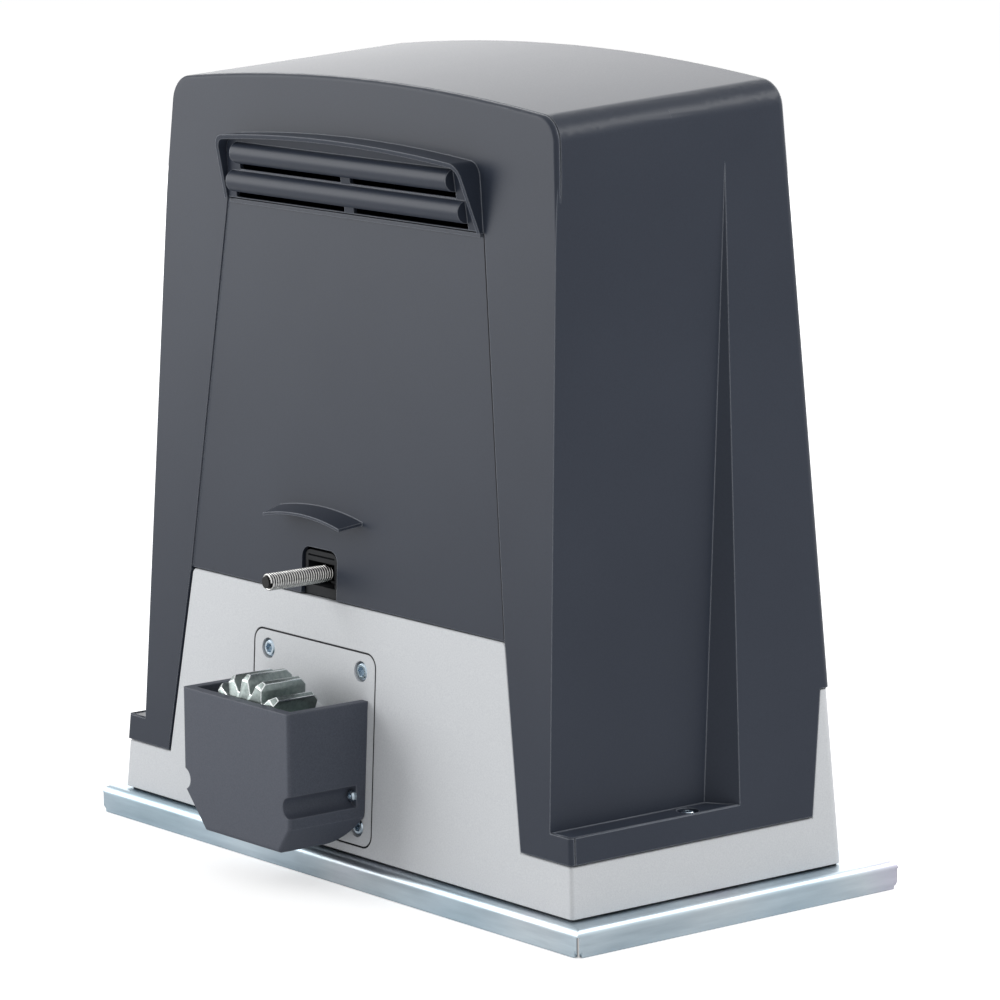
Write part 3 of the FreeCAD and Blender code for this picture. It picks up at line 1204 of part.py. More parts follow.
def gearbox_housing():
    """Cast box round worm and wheel, with the neck that meets the casing's pad."""
    low = worm_low_z() - BEARING_GAP - GEARBOX_WALL
    drum = rod_y(AXIS_X, AXIS_Z, GEARBOX_R, GEARBOX_FRONT_Y, GEARBOX_BACK_Y)
    tower = rod_z(WORM_X, WHEEL_Y, WORM_TUBE_R, low, GEARBOX_TOP_Z)
    web_half = GEARBOX_R * WEB_SHARE
    web = box(AXIS_X, WORM_X + WORM_BEARING_R, GEARBOX_FRONT_Y, GEARBOX_BACK_Y, AXIS_Z - web_half,
              AXIS_Z + web_half)
    neck = rod_y(AXIS_X, AXIS_Z, FRONT_BEARING_R + GEARBOX_WALL, front_bearing_y(), GEARBOX_FRONT_Y + 1)
    feet = []
    for x in (AXIS_X - GEARBOX_R / 2, WORM_X):
        feet.append(box(x - GEARBOX_FOOT / 2, x + GEARBOX_FOOT / 2, GEARBOX_FRONT_Y, GEARBOX_BACK_Y,
                        FLOOR_TOP, AXIS_Z - GEARBOX_R / 2))
    body = fuse([drum, tower, web, neck] + feet)
    body = body.common(box(-BIG, BIG, -BIG, GEARBOX_BACK_Y, -BIG, BIG).fuse(
        rod_z(WORM_X, WHEEL_Y, WORM_TUBE_R, low, GEARBOX_TOP_Z)))
    wheel_room = rod_y(AXIS_X, AXIS_Z, WHEEL_TIP_R + GEAR_CLEARANCE, GEARBOX_FRONT_Y + GEARBOX_WALL,
                       GEARBOX_BACK_Y + 1)
    worm_room = rod_z(WORM_X, WHEEL_Y, WORM_BEARING_R, worm_low_z() - BEARING_GAP, GEARBOX_TOP_Z + 1)
    bearing_room = rod_y(AXIS_X, AXIS_Z, FRONT_BEARING_R, front_bearing_y() - 1,
                         front_bearing_y() + FRONT_BEARING_WIDTH)
    passage = rod_y(AXIS_X, AXIS_Z, SHAFT_R + GEAR_CLEARANCE, front_bearing_y() - 1, GEARBOX_BACK_Y)
    screw_holes = [rod_y(x, z, GEARBOX_SCREW_R, GEARBOX_BACK_Y - GEARBOX_SCREW_BITE, GEARBOX_BACK_Y + 1)
                   for x, z in gearbox_screw_places()]
    return body.cut(fuse([wheel_room, worm_room, bearing_room, passage] + screw_holes))


def gearbox_screw_places():
    reach = GEARBOX_R - GEARBOX_WALL / 2
    angles = (60, 120, 180, 240, 300)
    return [(AXIS_X + reach * math.cos(math.radians(a)), AXIS_Z + reach * math.sin(math.radians(a)))
            for a in angles]


def gearbox_cover():
    """Lid on the far side of the gearbox, with the rear bearing's boss."""
    tower = rod_z(WORM_X, WHEEL_Y, WORM_TUBE_R + COVER_TOWER_GAP, -BIG, BIG)
    lid = rod_y(AXIS_X, AXIS_Z, GEARBOX_R, GEARBOX_BACK_Y, GEARBOX_COVER_Y).cut(tower)
    far = GEARBOX_COVER_Y + REAR_BOSS
    boss = rod_y(AXIS_X, AXIS_Z, REAR_BEARING_R + REAR_BOSS_WALL, GEARBOX_COVER_Y - 1, far)
    seat = rod_y(AXIS_X, AXIS_Z, REAR_BEARING_R, far - REAR_BEARING_WIDTH, far + 1)
    through = rod_y(AXIS_X, AXIS_Z, REAR_JOURNAL_R + GEAR_CLEARANCE, GEARBOX_BACK_Y - 1, far + 1)
    holes = []
    for x, z in gearbox_screw_places():
        holes.append(rod_y(x, z, GEARBOX_SCREW_R, GEARBOX_BACK_Y - 1, GEARBOX_COVER_Y + 1))
    return fuse([lid, boss]).cut(fuse([seat, through] + holes))


def gearbox_screws():
    screws = []
    for x, z in gearbox_screw_places():
        length = GEARBOX_COVER + GEARBOX_SCREW_BITE
        screw = hexagon_screw(GEARBOX_SCREW_R, GEARBOX_SCREW_HEAD_R, GEARBOX_SCREW_HEAD, length)
        screw.rotate(Vector(0, 0, 0), Vector(1, 0, 0), -90)
        screw.translate(Vector(x, GEARBOX_COVER_Y - length, z))
        screws.append(screw)
    return group(screws)


# ---------------------------------------------------------------- motor
def motor_flange():
    """Adapter between gearbox and motor, which also closes the worm's tower."""
    plate = rod_z(WORM_X, WHEEL_Y, MOTOR_R, GEARBOX_TOP_Z, MOTOR_BOTTOM_Z)
    step = rod_z(WORM_X, WHEEL_Y, MOTOR_R - MOTOR_WALL - SPIGOT_GAP, MOTOR_BOTTOM_Z - 1,
                 MOTOR_BOTTOM_Z + MOTOR_SPIGOT)
    bore = rod_z(WORM_X, WHEEL_Y, WORM_JOURNAL_R + 1, GEARBOX_TOP_Z - 1, MOTOR_BOTTOM_Z + 5)
    return fuse([plate, step]).cut(bore)


def motor_can():
    """Drawn steel can with flutes pressed along it."""
    cuts = [rod_z(WORM_X, WHEEL_Y, MOTOR_R - MOTOR_WALL, MOTOR_BOTTOM_Z - 1, MOTOR_TOP_Z + 1)]
    for i in range(CAN_FLUTES):
        flute = box(MOTOR_R - CAN_FLUTE_DEPTH, MOTOR_R + 1, -CAN_FLUTE_WIDTH / 2, CAN_FLUTE_WIDTH / 2,
                    MOTOR_BOTTOM_Z + CAN_FLUTE_END, MOTOR_TOP_Z - CAN_FLUTE_END)
        flute.rotate(Vector(0, 0, 0), Vector(0, 0, 1), (i + 0.5) * 360.0 / CAN_FLUTES)
        flute.translate(Vector(WORM_X, WHEEL_Y, 0))
        cuts.append(flute)
    return rod_z(WORM_X, WHEEL_Y, MOTOR_R, MOTOR_BOTTOM_Z, MOTOR_TOP_Z).cut(fuse(cuts))


def stator_low_z():
    return (MOTOR_BOTTOM_Z + MOTOR_TOP_Z - STATOR_LENGTH) / 2


def motor_stator():
    """Laminated stack with slots, open round the rotor."""
    low = stator_low_z()
    ring = rod_z(WORM_X, WHEEL_Y, MOTOR_R - MOTOR_WALL, low, low + STATOR_LENGTH)
    cuts = [rod_z(WORM_X, WHEEL_Y, STATOR_INNER_R, low - 1, low + STATOR_LENGTH + 1)]
    for i in range(STATOR_SLOTS):
        slot = box(STATOR_INNER_R - 1, STATOR_INNER_R + STATOR_SLOT_DEPTH, -STATOR_SLOT_WIDTH / 2,
                   STATOR_SLOT_WIDTH / 2, low - 1, low + STATOR_LENGTH + 1)
        slot.rotate(Vector(0, 0, 0), Vector(0, 0, 1), i * 360.0 / STATOR_SLOTS)
        slot.translate(Vector(WORM_X, WHEEL_Y, 0))
        cuts.append(slot)
    return ring.cut(fuse(cuts))


def motor_windings():
    """The coil heads above and below the stator."""
    low = stator_low_z()
    rings = []
    for z0, z1 in ((low - COIL_OVERHANG, low), (low + STATOR_LENGTH, low + STATOR_LENGTH + COIL_OVERHANG)):
        outer = rod_z(WORM_X, WHEEL_Y, MOTOR_R - MOTOR_WALL - COIL_WALL_GAP, z0, z1)
        ring = outer.cut(rod_z(WORM_X, WHEEL_Y, STATOR_INNER_R + COIL_GAP, z0 - 1, z1 + 1))
        far = z0 if z0 < low else z1
        rounded = [e for e in ring.Edges if len(e.Vertexes) == 1 and abs(e.Vertexes[0].Point.z - far) < 0.01]
        rings.append(ring.makeChamfer(COIL_CHAMFER, rounded))
    return group(rings)


def motor_rotor():
    """Squirrel-cage core with its end rings."""
    low = stator_low_z() + ROTOR_SHORT
    high = stator_low_z() + STATOR_LENGTH - ROTOR_SHORT
    core = rod_z(WORM_X, WHEEL_Y, ROTOR_R, low, high)
    ring = rod_z(WORM_X, WHEEL_Y, ROTOR_R - CAGE_RING_STEP, low - CAGE_RING, high + CAGE_RING)
    bore = rod_z(WORM_X, WHEEL_Y, WORM_JOURNAL_R, low - BIG, high + BIG)
    return fuse([core, ring]).cut(bore)


def motor_end_cap():
    """Upper end shield with the top bearing's seat."""
    plate = rod_z(WORM_X, WHEEL_Y, MOTOR_R, MOTOR_TOP_Z, MOTOR_TOP_Z + END_CAP)

    def top_rim(edge):
        return len(edge.Vertexes) == 1 and edge.Vertexes[0].Point.z > MOTOR_TOP_Z + 1
    plate = plate.makeChamfer(END_CAP_CHAMFER, [e for e in plate.Edges if top_rim(e)])
    step = rod_z(WORM_X, WHEEL_Y, MOTOR_R - MOTOR_WALL - SPIGOT_GAP, MOTOR_TOP_Z - MOTOR_SPIGOT,
                 MOTOR_TOP_Z + 1)
    seat = rod_z(WORM_X, WHEEL_Y, WORM_BEARING_R, MOTOR_TOP_Z - MOTOR_SPIGOT - 1,
                 MOTOR_TOP_Z - MOTOR_SPIGOT + WORM_BEARING_WIDTH)
    holes = []
    for x, y in motor_screw_places():
        holes.append(rod_z(x, y, MOTOR_SCREW_R, MOTOR_TOP_Z - MOTOR_SPIGOT - 1, MOTOR_TOP_Z + END_CAP + 1))
    return fuse([plate, step]).cut(fuse([seat] + holes))


def motor_bearing():
    inner = WORM_JOURNAL_R + RUNNING_CLEARANCE
    return bearing_z(WORM_X, WHEEL_Y, inner, WORM_BEARING_R, MOTOR_TOP_Z - MOTOR_SPIGOT,
                     WORM_BEARING_WIDTH)


def motor_screw_places():
    reach = MOTOR_R - 8
    return [(WORM_X + reach * math.cos(math.radians(a)), WHEEL_Y + reach * math.sin(math.radians(a)))
            for a in (45, 135, 225, 315)]


def motor_screws():
    """Screws that hold the end cap."""
    screws = []
    length = END_CAP + MOTOR_SPIGOT
    for x, y in motor_screw_places():
        screw = hexagon_screw(MOTOR_SCREW_R, MOTOR_SCREW_HEAD_R, MOTOR_SCREW_HEAD, length)
        screw.translate(Vector(x, y, MOTOR_TOP_Z + END_CAP - length))
        screws.append(screw)
    return group(screws)


# ---------------------------------------------------------------- hand release
def lever_face_y():
    return back_y(AXIS_Z - LEVER_HUB_R) + LEVER_GAP


def release_lever():
    """Lever on the far wall that frees the pinion by hand, with the lock in its hub."""
    near = lever_face_y()
    far = near + LEVER_THICKNESS
    hub = rod_y(AXIS_X, AXIS_Z, LEVER_HUB_R, near, far)
    tip_x = AXIS_X + LEVER_LENGTH
    arm = box(AXIS_X, tip_x, near, far, AXIS_Z - LEVER_WIDTH / 2, AXIS_Z + LEVER_WIDTH / 2)
    tip = rod_y(tip_x, AXIS_Z, LEVER_WIDTH / 2, near, far)
    stem = rod_y(AXIS_X, AXIS_Z, PIVOT_R, back_y(AXIS_Z) - PIVOT_R, near + 1)
    body = fuse([hub, arm, tip])

    def outer_rim(edge):
        return min(v.Point.y for v in edge.Vertexes) > far - 0.01
    body = body.makeChamfer(LEVER_CHAMFER, [e for e in body.Edges if outer_rim(e)])
    lock = rod_y(AXIS_X, AXIS_Z, LOCK_R + RUNNING_CLEARANCE, far - LOCK_DEPTH, far + 1)
    guide = rod_y(AXIS_X, AXIS_Z, RELEASE_ROD_R + RUNNING_CLEARANCE, back_y(AXIS_Z) - PIVOT_R - 1,
                  near - 2)
    return fuse([body, stem]).cut(fuse([lock, guide]))


def lock_barrel():
    far = lever_face_y() + LEVER_THICKNESS
    barrel = rod_y(AXIS_X, AXIS_Z, LOCK_R, far - LOCK_DEPTH, far + LOCK_PROUD)
    slot = box(AXIS_X - KEY_SLOT_LENGTH / 2, AXIS_X + KEY_SLOT_LENGTH / 2, far - KEY_SLOT_DEPTH, far + 2,
               AXIS_Z - KEY_SLOT_WIDTH / 2, AXIS_Z + KEY_SLOT_WIDTH / 2)
    return barrel.cut(slot)


def release_rod():
    """Push rod from the lever into the shaft's far end."""
    rear = back_y(AXIS_Z) - RELEASE_ROD_SHORT
    return rod_y(AXIS_X, AXIS_Z, RELEASE_ROD_R, GEARBOX_BACK_Y - RELEASE_ROD_BITE, rear)


# ---------------------------------------------------------------- electrics
def cable_bush():
    """Rubber bush where the supply cables come up through the floor."""
    barrel = rod_z(CABLE_X, CABLE_Y, CABLE_BUSH_R, BASE_Z - CABLE_BUSH_LIP / 2, FLOOR_TOP + CABLE_BUSH_LIP)
    lip = rod_z(CABLE_X, CABLE_Y, CABLE_BUSH_R + CABLE_BUSH_LIP, FLOOR_TOP, FLOOR_TOP + CABLE_BUSH_LIP)
    bore = rod_z(CABLE_X, CABLE_Y, CABLE_BORE_R, 0, FLOOR_TOP + CABLE_BUSH_LIP + 1)
    return fuse([barrel, lip]).cut(bore)


def board_carrier():
    """Moulded plate on two ribbed legs that holds the control board upright."""
    half = BOARD_WIDTH / 2 + CARRIER_MARGIN
    rear = BOARD_Y + STANDOFF + CARRIER_SHEET
    low = BOARD_LOW_Z - CARRIER_MARGIN
    top = BOARD_LOW_Z + BOARD_HEIGHT + CARRIER_MARGIN
    pieces = [box(BOARD_X - half, BOARD_X + half, rear - CARRIER_SHEET, rear, low, top)]
    for x in (BOARD_X - half, BOARD_X + half - CARRIER_LEG):
        rib = x + (CARRIER_LEG - CARRIER_RIB) / 2
        pieces.append(box(x, x + CARRIER_LEG, rear - CARRIER_SHEET, rear, FLOOR_TOP, low + 1))
        pieces.append(box(x, x + CARRIER_LEG, rear - CARRIER_FOOT, rear, FLOOR_TOP,
                          FLOOR_TOP + CARRIER_FOOT_HEIGHT))
        pieces.append(box(rib, rib + CARRIER_RIB, rear - CARRIER_FOOT + CARRIER_RIB, rear, FLOOR_TOP,
                          low - CARRIER_RIB))
    middle_z = BOARD_LOW_Z + BOARD_HEIGHT / 2
    for x, z in corner_points(BOARD_WIDTH - 2 * STANDOFF_INSET, BOARD_HEIGHT - 2 * STANDOFF_INSET,
                              BOARD_X, middle_z):
        pieces.append(rod_y(x, z, STANDOFF_R, BOARD_Y, rear - CARRIER_SHEET / 2))
    return fuse(pieces)


def control_board():
    low = BOARD_LOW_Z
    return box(BOARD_X - BOARD_WIDTH / 2, BOARD_X + BOARD_WIDTH / 2, BOARD_Y - BOARD_THICKNESS, BOARD_Y,
               low, low + BOARD_HEIGHT)


def terminal_blocks():
    """Row of plug-in terminals along the board's lower edge."""
    face = BOARD_Y - BOARD_THICKNESS
    low = BOARD_LOW_Z + TERMINAL_Z
    step_y, step_z = TERMINAL_STEP
    pitch = BOARD_WIDTH / TERMINAL_COUNT
    half = pitch * TERMINAL_SHARE / 2
    blocks = []
    for i in range(TERMINAL_COUNT):
        x = BOARD_X - BOARD_WIDTH / 2 + pitch * (i + 0.5)
        block = box(x - half, x + half, face - TERMINAL_DEPTH, face, low, low + TERMINAL_HEIGHT)
        front = face - TERMINAL_DEPTH
        lip = box(x - half, x + half, front - 1, front + step_y, low + step_z, low + TERMINAL_HEIGHT + 1)
        blocks.append(block.cut(lip))
    return group(blocks)


def relays():
    face = BOARD_Y - BOARD_THICKNESS
    width, depth, height = RELAY_SIZE
    low = BOARD_LOW_Z + RELAY_Z
    return group([box(BOARD_X + x - width / 2, BOARD_X + x + width / 2, face - depth, face, low,
                      low + height) for x in RELAY_X])


def transformer():
    """Laminated core with its winding."""
    x0, x1, y0, y1 = transformer_core()
    low = FLOOR_TOP + STRAP
    top = low + TRANSFORMER_HEIGHT
    core = box(x0, x1, y0, y1, low, top)
    coil = rounded_block_y(x0 + COIL_SIDE, x1 - COIL_SIDE, low + COIL_END, top - COIL_END, COIL_RADIUS,
                           y0 - COIL_STANDOUT, y1 + COIL_STANDOUT)
    return fuse([core, coil])


def transformer_core():
    """The core's sides in plan."""
    half_x = TRANSFORMER_WIDTH / 2
    half_y = TRANSFORMER_DEPTH / 2 - COIL_STANDOUT
    return [TRANSFORMER_X - half_x, TRANSFORMER_X + half_x, TRANSFORMER_Y - half_y,
            TRANSFORMER_Y + half_y]


def transformer_bracket():
    """Bent strap that holds the transformer down on the floor."""
    x0, x1, y0, y1 = transformer_core()
    low = FLOOR_TOP
    top = low + STRAP + TRANSFORMER_HEIGHT
    near = y0 + STRAP_INSET
    far = y1 - STRAP_INSET
    outer = box(x0 - STRAP_SIDE, x1 + STRAP_SIDE, near, far, low, top + STRAP_SIDE)
    inner = box(x0, x1, y0, y1, low + STRAP, top)
    feet = [box(x0 - STRAP_FOOT, x0, near, far, low, low + STRAP),
            box(x1, x1 + STRAP_FOOT, near, far, low, low + STRAP)]
    return fuse([outer.cut(inner)] + feet)


def run_capacitor():
    """Motor run capacitor: aluminium can with a moulded top."""
    can = rod_z(CAPACITOR_X, CAPACITOR_Y, CAPACITOR_R, FLOOR_TOP, FLOOR_TOP + CAPACITOR_HEIGHT)

    def rims(edge):
        return len(edge.Vertexes) == 1
    can = can.makeChamfer(CAPACITOR_CRIMP, [e for e in can.Edges if rims(e)])
    width, sheet, height = CAPACITOR_TAG
    top = FLOOR_TOP + CAPACITOR_HEIGHT
    tags = []
    for x in (CAPACITOR_X - CAPACITOR_TAG_X, CAPACITOR_X + CAPACITOR_TAG_X):
        tags.append(box(x - width / 2, x + width / 2, CAPACITOR_Y - sheet / 2,
                        CAPACITOR_Y + sheet / 2, top - 1, top + height))
    return fuse([can] + tags)


# ---------------------------------------------------------------- all nodes
NODES = {
    "base_plate": base_plate,
    "base_gasket": base_gasket,
    "levelling_screws": levelling_screws,
    "casing": casing,
    "flange_plate": flange_plate,
    "flange_screws": flange_screws,
    "cover": cover,
    "cover_screws": cover_screws,
    "gate_side_panel": gate_side_panel,
    "louvre_plate": louvre_plate,
    "pinion_guard": pinion_guard,
    "guard_screws": guard_screws,
    "drive_pinion": drive_pinion,
    "pinion_key": pinion_key,
    "pinion_retainer": pinion_retainer,
    "output_shaft": output_shaft,
    "worm_wheel": worm_wheel,
    "front_bearing": front_bearing,
    "rear_bearing": rear_bearing,
    "shaft_seal": shaft_seal,
    "gearbox_housing": gearbox_housing,
    "gearbox_cover": gearbox_cover,
    "gearbox_screws": gearbox_screws,
    "worm_shaft": worm_shaft,
    "worm_bearings": worm_bearings,
    "motor_flange": motor_flange,
    "motor_can": motor_can,
    "motor_stator": motor_stator,
    "motor_windings": motor_windings,
    "motor_rotor": motor_rotor,
    "motor_end_cap": motor_end_cap,
    "motor_bearing": motor_bearing,
    "motor_screws": motor_screws,
    "limit_switch_housing": limit_switch_housing,
    "limit_spring": limit_spring,
    "limit_arm_core": limit_arm_core,
    "limit_pivot": limit_pivot,
    "limit_microswitches": limit_microswitches,
    "release_lever": release_lever,
    "lock_barrel": lock_barrel,
    "release_rod": release_rod,
    "cable_bush": cable_bush,
    "board_carrier": board_carrier,
    "control_board": control_board,
    "terminal_blocks": terminal_blocks,
    "relays": relays,
    "transformer": transformer,
    "transformer_bracket": transformer_bracket,
    "run_capacitor": run_capacitor,
}

# The footprint runs from the guard's front to the plate's far edge.
ORIGIN_SHIFT_Y = -(GUARD_FRONT_Y + PLATE_WIDTH / 2) / 2


def main():
    os.makedirs("parts", exist_ok=True)
    for name, build in NODES.items():
        shape = build()
        shape.translate(Vector(0, ORIGIN_SHIFT_Y, 0))
        shape.exportStep("parts/" + name + ".step")


main()
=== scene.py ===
# %% [markdown]
# # A sliding gate motor, dressed around its CAD model
#
# The object is a gate drive: a graphite plastic cover stands on a light grey die-cast
# casing, a toothed pinion turns behind a cast guard, and a springy arm reaches out to
# feel the gate's end stops.  The CAD model already has every body in its place, so
# this lesson gives each piece its real finish, and makes the few pieces that a solid
# modeller does poorly, such as a coil spring.
#
# It is kept as it is and only dressed.

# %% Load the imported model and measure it
import json
import math

import bmesh
import bpy
from mathutils import Matrix, Vector


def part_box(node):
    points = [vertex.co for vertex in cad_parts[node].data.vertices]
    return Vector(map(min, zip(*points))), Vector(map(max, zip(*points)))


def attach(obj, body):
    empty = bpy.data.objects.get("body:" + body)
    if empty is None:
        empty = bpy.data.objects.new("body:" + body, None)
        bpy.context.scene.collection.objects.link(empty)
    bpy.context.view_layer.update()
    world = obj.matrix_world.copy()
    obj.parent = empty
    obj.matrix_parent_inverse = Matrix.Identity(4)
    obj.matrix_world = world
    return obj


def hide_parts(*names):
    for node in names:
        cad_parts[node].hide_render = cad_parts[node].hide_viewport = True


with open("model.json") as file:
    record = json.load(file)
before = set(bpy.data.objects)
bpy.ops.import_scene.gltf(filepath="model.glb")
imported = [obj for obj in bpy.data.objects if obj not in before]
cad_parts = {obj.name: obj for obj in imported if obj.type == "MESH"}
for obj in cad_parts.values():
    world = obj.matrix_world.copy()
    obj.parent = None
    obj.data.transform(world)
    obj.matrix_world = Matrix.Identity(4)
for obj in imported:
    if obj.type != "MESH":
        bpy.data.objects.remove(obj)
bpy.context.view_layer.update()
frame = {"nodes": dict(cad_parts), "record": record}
nodes = frame["nodes"]

# %% [markdown]
# ## Units, colours and one way to add a node
#
# Sizes are thought of in millimetres and Blender works in metres.  Colours are chosen
# as sRGB hex values, the way a paint chart gives them, and shaders want linear light.
# Every shader and geometry tree below is wired with the same small function.

# %% Helpers for units, colours, nodes and objects
MM = 0.001


def linear(code):
    """An sRGB hex value as the opaque linear colour that a shader wants."""
    channels = [int(code[i:i + 2], 16) / 255 for i in (1, 3, 5)]
    return tuple(c / 12.92 if c <= 0.04045 else ((c + 0.055) / 1.055) ** 2.4
                 for c in channels) + (1.0,)


def add_node(tree, kind, settings=None, links=None):
    """Adds a node, sets its fields and sockets, and links its inputs.

    A key that names a field of the node sets the field; any other key, and any
    number, is an input socket."""
    node = tree.nodes.new(kind)
    for key, value in (settings or {}).items():
        if isinstance(key, str) and hasattr(node, key) and key not in node.inputs:
            setattr(node, key, value)
        else:
            node.inputs[key].default_value = value
    for key, socket in (links or {}).items():
        tree.links.new(socket, node.inputs[key])
    return node


def into_scene(name, data):
    """An object for a mesh, lamp or camera, linked to the scene."""
    thing = bpy.data.objects.new(name, data)
    bpy.context.scene.collection.objects.link(thing)
    return thing


print("one sRGB mid grey in linear light:", [round(c, 3) for c in linear("#808080")])

# %% [markdown]
# ## Camera
#
# The motor is looked at from a little above its gate side, with its right end turned
# towards us.  A long lens a few metres away keeps the upright edges nearly parallel,
# as a catalogue picture does.

# %% A long-lens camera
LENS_MM = 180.5
SENSOR_MM = 36.0
CLIP_END = 50.0
CAMERA_PLACE = Vector((2.1286, -1.6731, 0.6751))
CAMERA_AZIMUTH = math.radians(51.297)
CAMERA_ELEVATION = math.radians(9.969)
CAMERA_ROLL = math.radians(-0.483)

backwards = Vector((math.sin(CAMERA_AZIMUTH) * math.cos(CAMERA_ELEVATION),
                    -math.cos(CAMERA_AZIMUTH) * math.cos(CAMERA_ELEVATION),
                    math.sin(CAMERA_ELEVATION)))
level = Vector((math.cos(CAMERA_AZIMUTH), math.sin(CAMERA_AZIMUTH), 0.0))
upright = backwards.cross(level)
right = level * math.cos(CAMERA_ROLL) + upright * math.sin(CAMERA_ROLL)
up = upright * math.cos(CAMERA_ROLL) - level * math.sin(CAMERA_ROLL)

camera_data = bpy.data.cameras.new("catalogue_camera")
camera_data.lens = LENS_MM
camera_data.sensor_width = SENSOR_MM
camera_data.clip_end = CLIP_END
camera = into_scene("catalogue_camera", camera_data)
turn = Matrix((right, up, backwards)).transposed().to_4x4()
camera.matrix_world = Matrix.Translation(CAMERA_PLACE) @ turn
bpy.context.scene.camera = camera
bpy.context.scene.view_settings.view_transform = "Standard"
print("camera stands", round(CAMERA_PLACE.length, 2), "m from the part's origin")

# %% [markdown]
# ## Studio
#
# A dark, slightly glossy moulding shows its form by what it mirrors, so the light is
# large and soft.  The world is white to the eye and to mirrors, and dimmer as a light,
# so that pale metal keeps its tone.  The floor is matt paper, which takes the shadow
# and glows a little to the eye alone, so that it fades into the white behind it.

# %% World
WORLD_FILL = 0.56
world = bpy.data.worlds.new("white_studio")
bpy.context.scene.world = world
world.use_nodes = True
tree = world.node_tree
tree.nodes.clear()
rays = add_node(tree, "ShaderNodeLightPath")
seen = add_node(tree, "ShaderNodeMath", {"operation": "MAXIMUM"},
                {0: rays.outputs["Is Camera Ray"], 1: rays.outputs["Is Glossy Ray"]})
seen = add_node(tree, "ShaderNodeMath", {"operation": "MAXIMUM"},
                {0: seen.outputs[0], 1: rays.outputs["Is Transmission Ray"]})
fill = add_node(tree, "ShaderNodeBackground",
                {"Color": (1, 1, 1, 1), "Strength": WORLD_FILL})
white = add_node(tree, "ShaderNodeBackground", {"Color": (1, 1, 1, 1), "Strength": 1.0})
mix = add_node(tree, "ShaderNodeMixShader", links={
    0: seen.outputs[0], 1: fill.outputs[0], 2: white.outputs[0]})
add_node(tree, "ShaderNodeOutputWorld", links={"Surface": mix.outputs[0]})
print("world fill:", WORLD_FILL)


# %% Floor
def new_finish(name):
    """An empty material with its output and a shader, for one finish."""
    material = bpy.data.materials.new(name)
    material.use_nodes = True
    tree = material.node_tree
    tree.nodes.clear()
    shader = add_node(tree, "ShaderNodeBsdfPrincipled")
    add_node(tree, "ShaderNodeOutputMaterial", links={"Surface": shader.outputs["BSDF"]})
    coords = add_node(tree, "ShaderNodeTexCoord").outputs["Object"]
    return material, tree, shader, coords


FLOOR_HALF = 12.0
FLOOR_DROP = 0.3 * MM        # keeps the floor clear of the tray's lower edge
FLOOR_GLOW = 0.50
floor_mesh = bpy.data.meshes.new("studio_floor")
floor_mesh.from_pydata([(-FLOOR_HALF, -FLOOR_HALF, 0), (FLOOR_HALF, -FLOOR_HALF, 0),
                        (FLOOR_HALF, FLOOR_HALF, 0), (-FLOOR_HALF, FLOOR_HALF, 0)],
                       [], [(0, 1, 2, 3)])
floor = into_scene("studio_floor", floor_mesh)
floor.location.z = -FLOOR_DROP
paper, tree, shader, coords = new_finish("matt_white_paper")
shader.inputs["Base Color"].default_value = linear("#f2f2f2")
shader.inputs["Roughness"].default_value = 0.9
shader.inputs["Specular IOR Level"].default_value = 0.0
rays = add_node(tree, "ShaderNodeLightPath")
glow = add_node(tree, "ShaderNodeEmission",
                {"Color": (1, 1, 1, 1), "Strength": FLOOR_GLOW})
dark = add_node(tree, "ShaderNodeEmission", {"Color": (0, 0, 0, 1), "Strength": 0.0})
lift = add_node(tree, "ShaderNodeMixShader", links={
    0: rays.outputs["Is Camera Ray"], 1: dark.outputs[0], 2: glow.outputs[0]})
both = add_node(tree, "ShaderNodeAddShader", links={
    0: shader.outputs["BSDF"], 1: lift.outputs[0]})
tree.links.new(both.outputs[0], tree.nodes["Material Output"].inputs["Surface"])
floor_mesh.materials.append(paper)
print("floor:", 2 * FLOOR_HALF, "m wide")

# %% [markdown]
# ## Softboxes
#
# A panel at the front left stands where the gate side mirrors it, and lays a sheen on
# that side.  One behind it to the left does the same for the top, and a narrow one
# high behind draws a bright band along the rounded edge.  The right-hand end mirrors
# no panel, and stays dark.

# %% Soft lamps
MIDDLE = Vector((0.0, 0.0, 0.2))


def soft_panel(name, place, width, height, power):
    """A large softbox that faces the middle of the motor."""
    lamp = bpy.data.lights.new(name, "AREA")
    lamp.shape = "RECTANGLE"
    lamp.size = width
    lamp.size_y = height
    lamp.energy = power
    panel = into_scene(name, lamp)
    panel.location = place
    panel.rotation_euler = (MIDDLE - Vector(place)).to_track_quat("-Z", "Y").to_euler()


# name, place in metres, width, height, watts
SOFTBOXES = (("gate_side_softbox", (-2.3, -2.0, 1.2), 2.0, 2.4, 54.0),
             ("far_left_softbox", (-2.0, 2.4, 1.1), 3.4, 2.4, 38.0),
             ("edge_softbox", (1.2, 1.3, 1.6), 1.8, 0.5, 20.0))
for box in SOFTBOXES:
    soft_panel(*box)
print("softboxes:", len(SOFTBOXES))

# %% [markdown]
# ## What the finishes share
#
# No real edge is dead sharp.  Cycles' Bevel node bends the normal near an edge as if
# it were rounded, and where that normal leaves the true one, the edge is painted paler:
# partly for rubbing wear, partly as a painted highlight for the light an edge catches.
# Tones go from dark to light with a noise, and the finish's own bumps come on top of the
# rounded normal.

# %% Tones, rounded edges, paler edges for wear and painted highlight, and fine bumps
NOISE_LOW, NOISE_HIGH = 0.3, 0.7     # nearly all of a noise lies between these
BEVEL_SAMPLES = 4
# where the paler edge starts and where it is full: partly wear, partly painted highlight
PALE_EDGE_STARTS, PALE_EDGE_FULL = 0.99, 0.86  # cosine between true and rounded normal


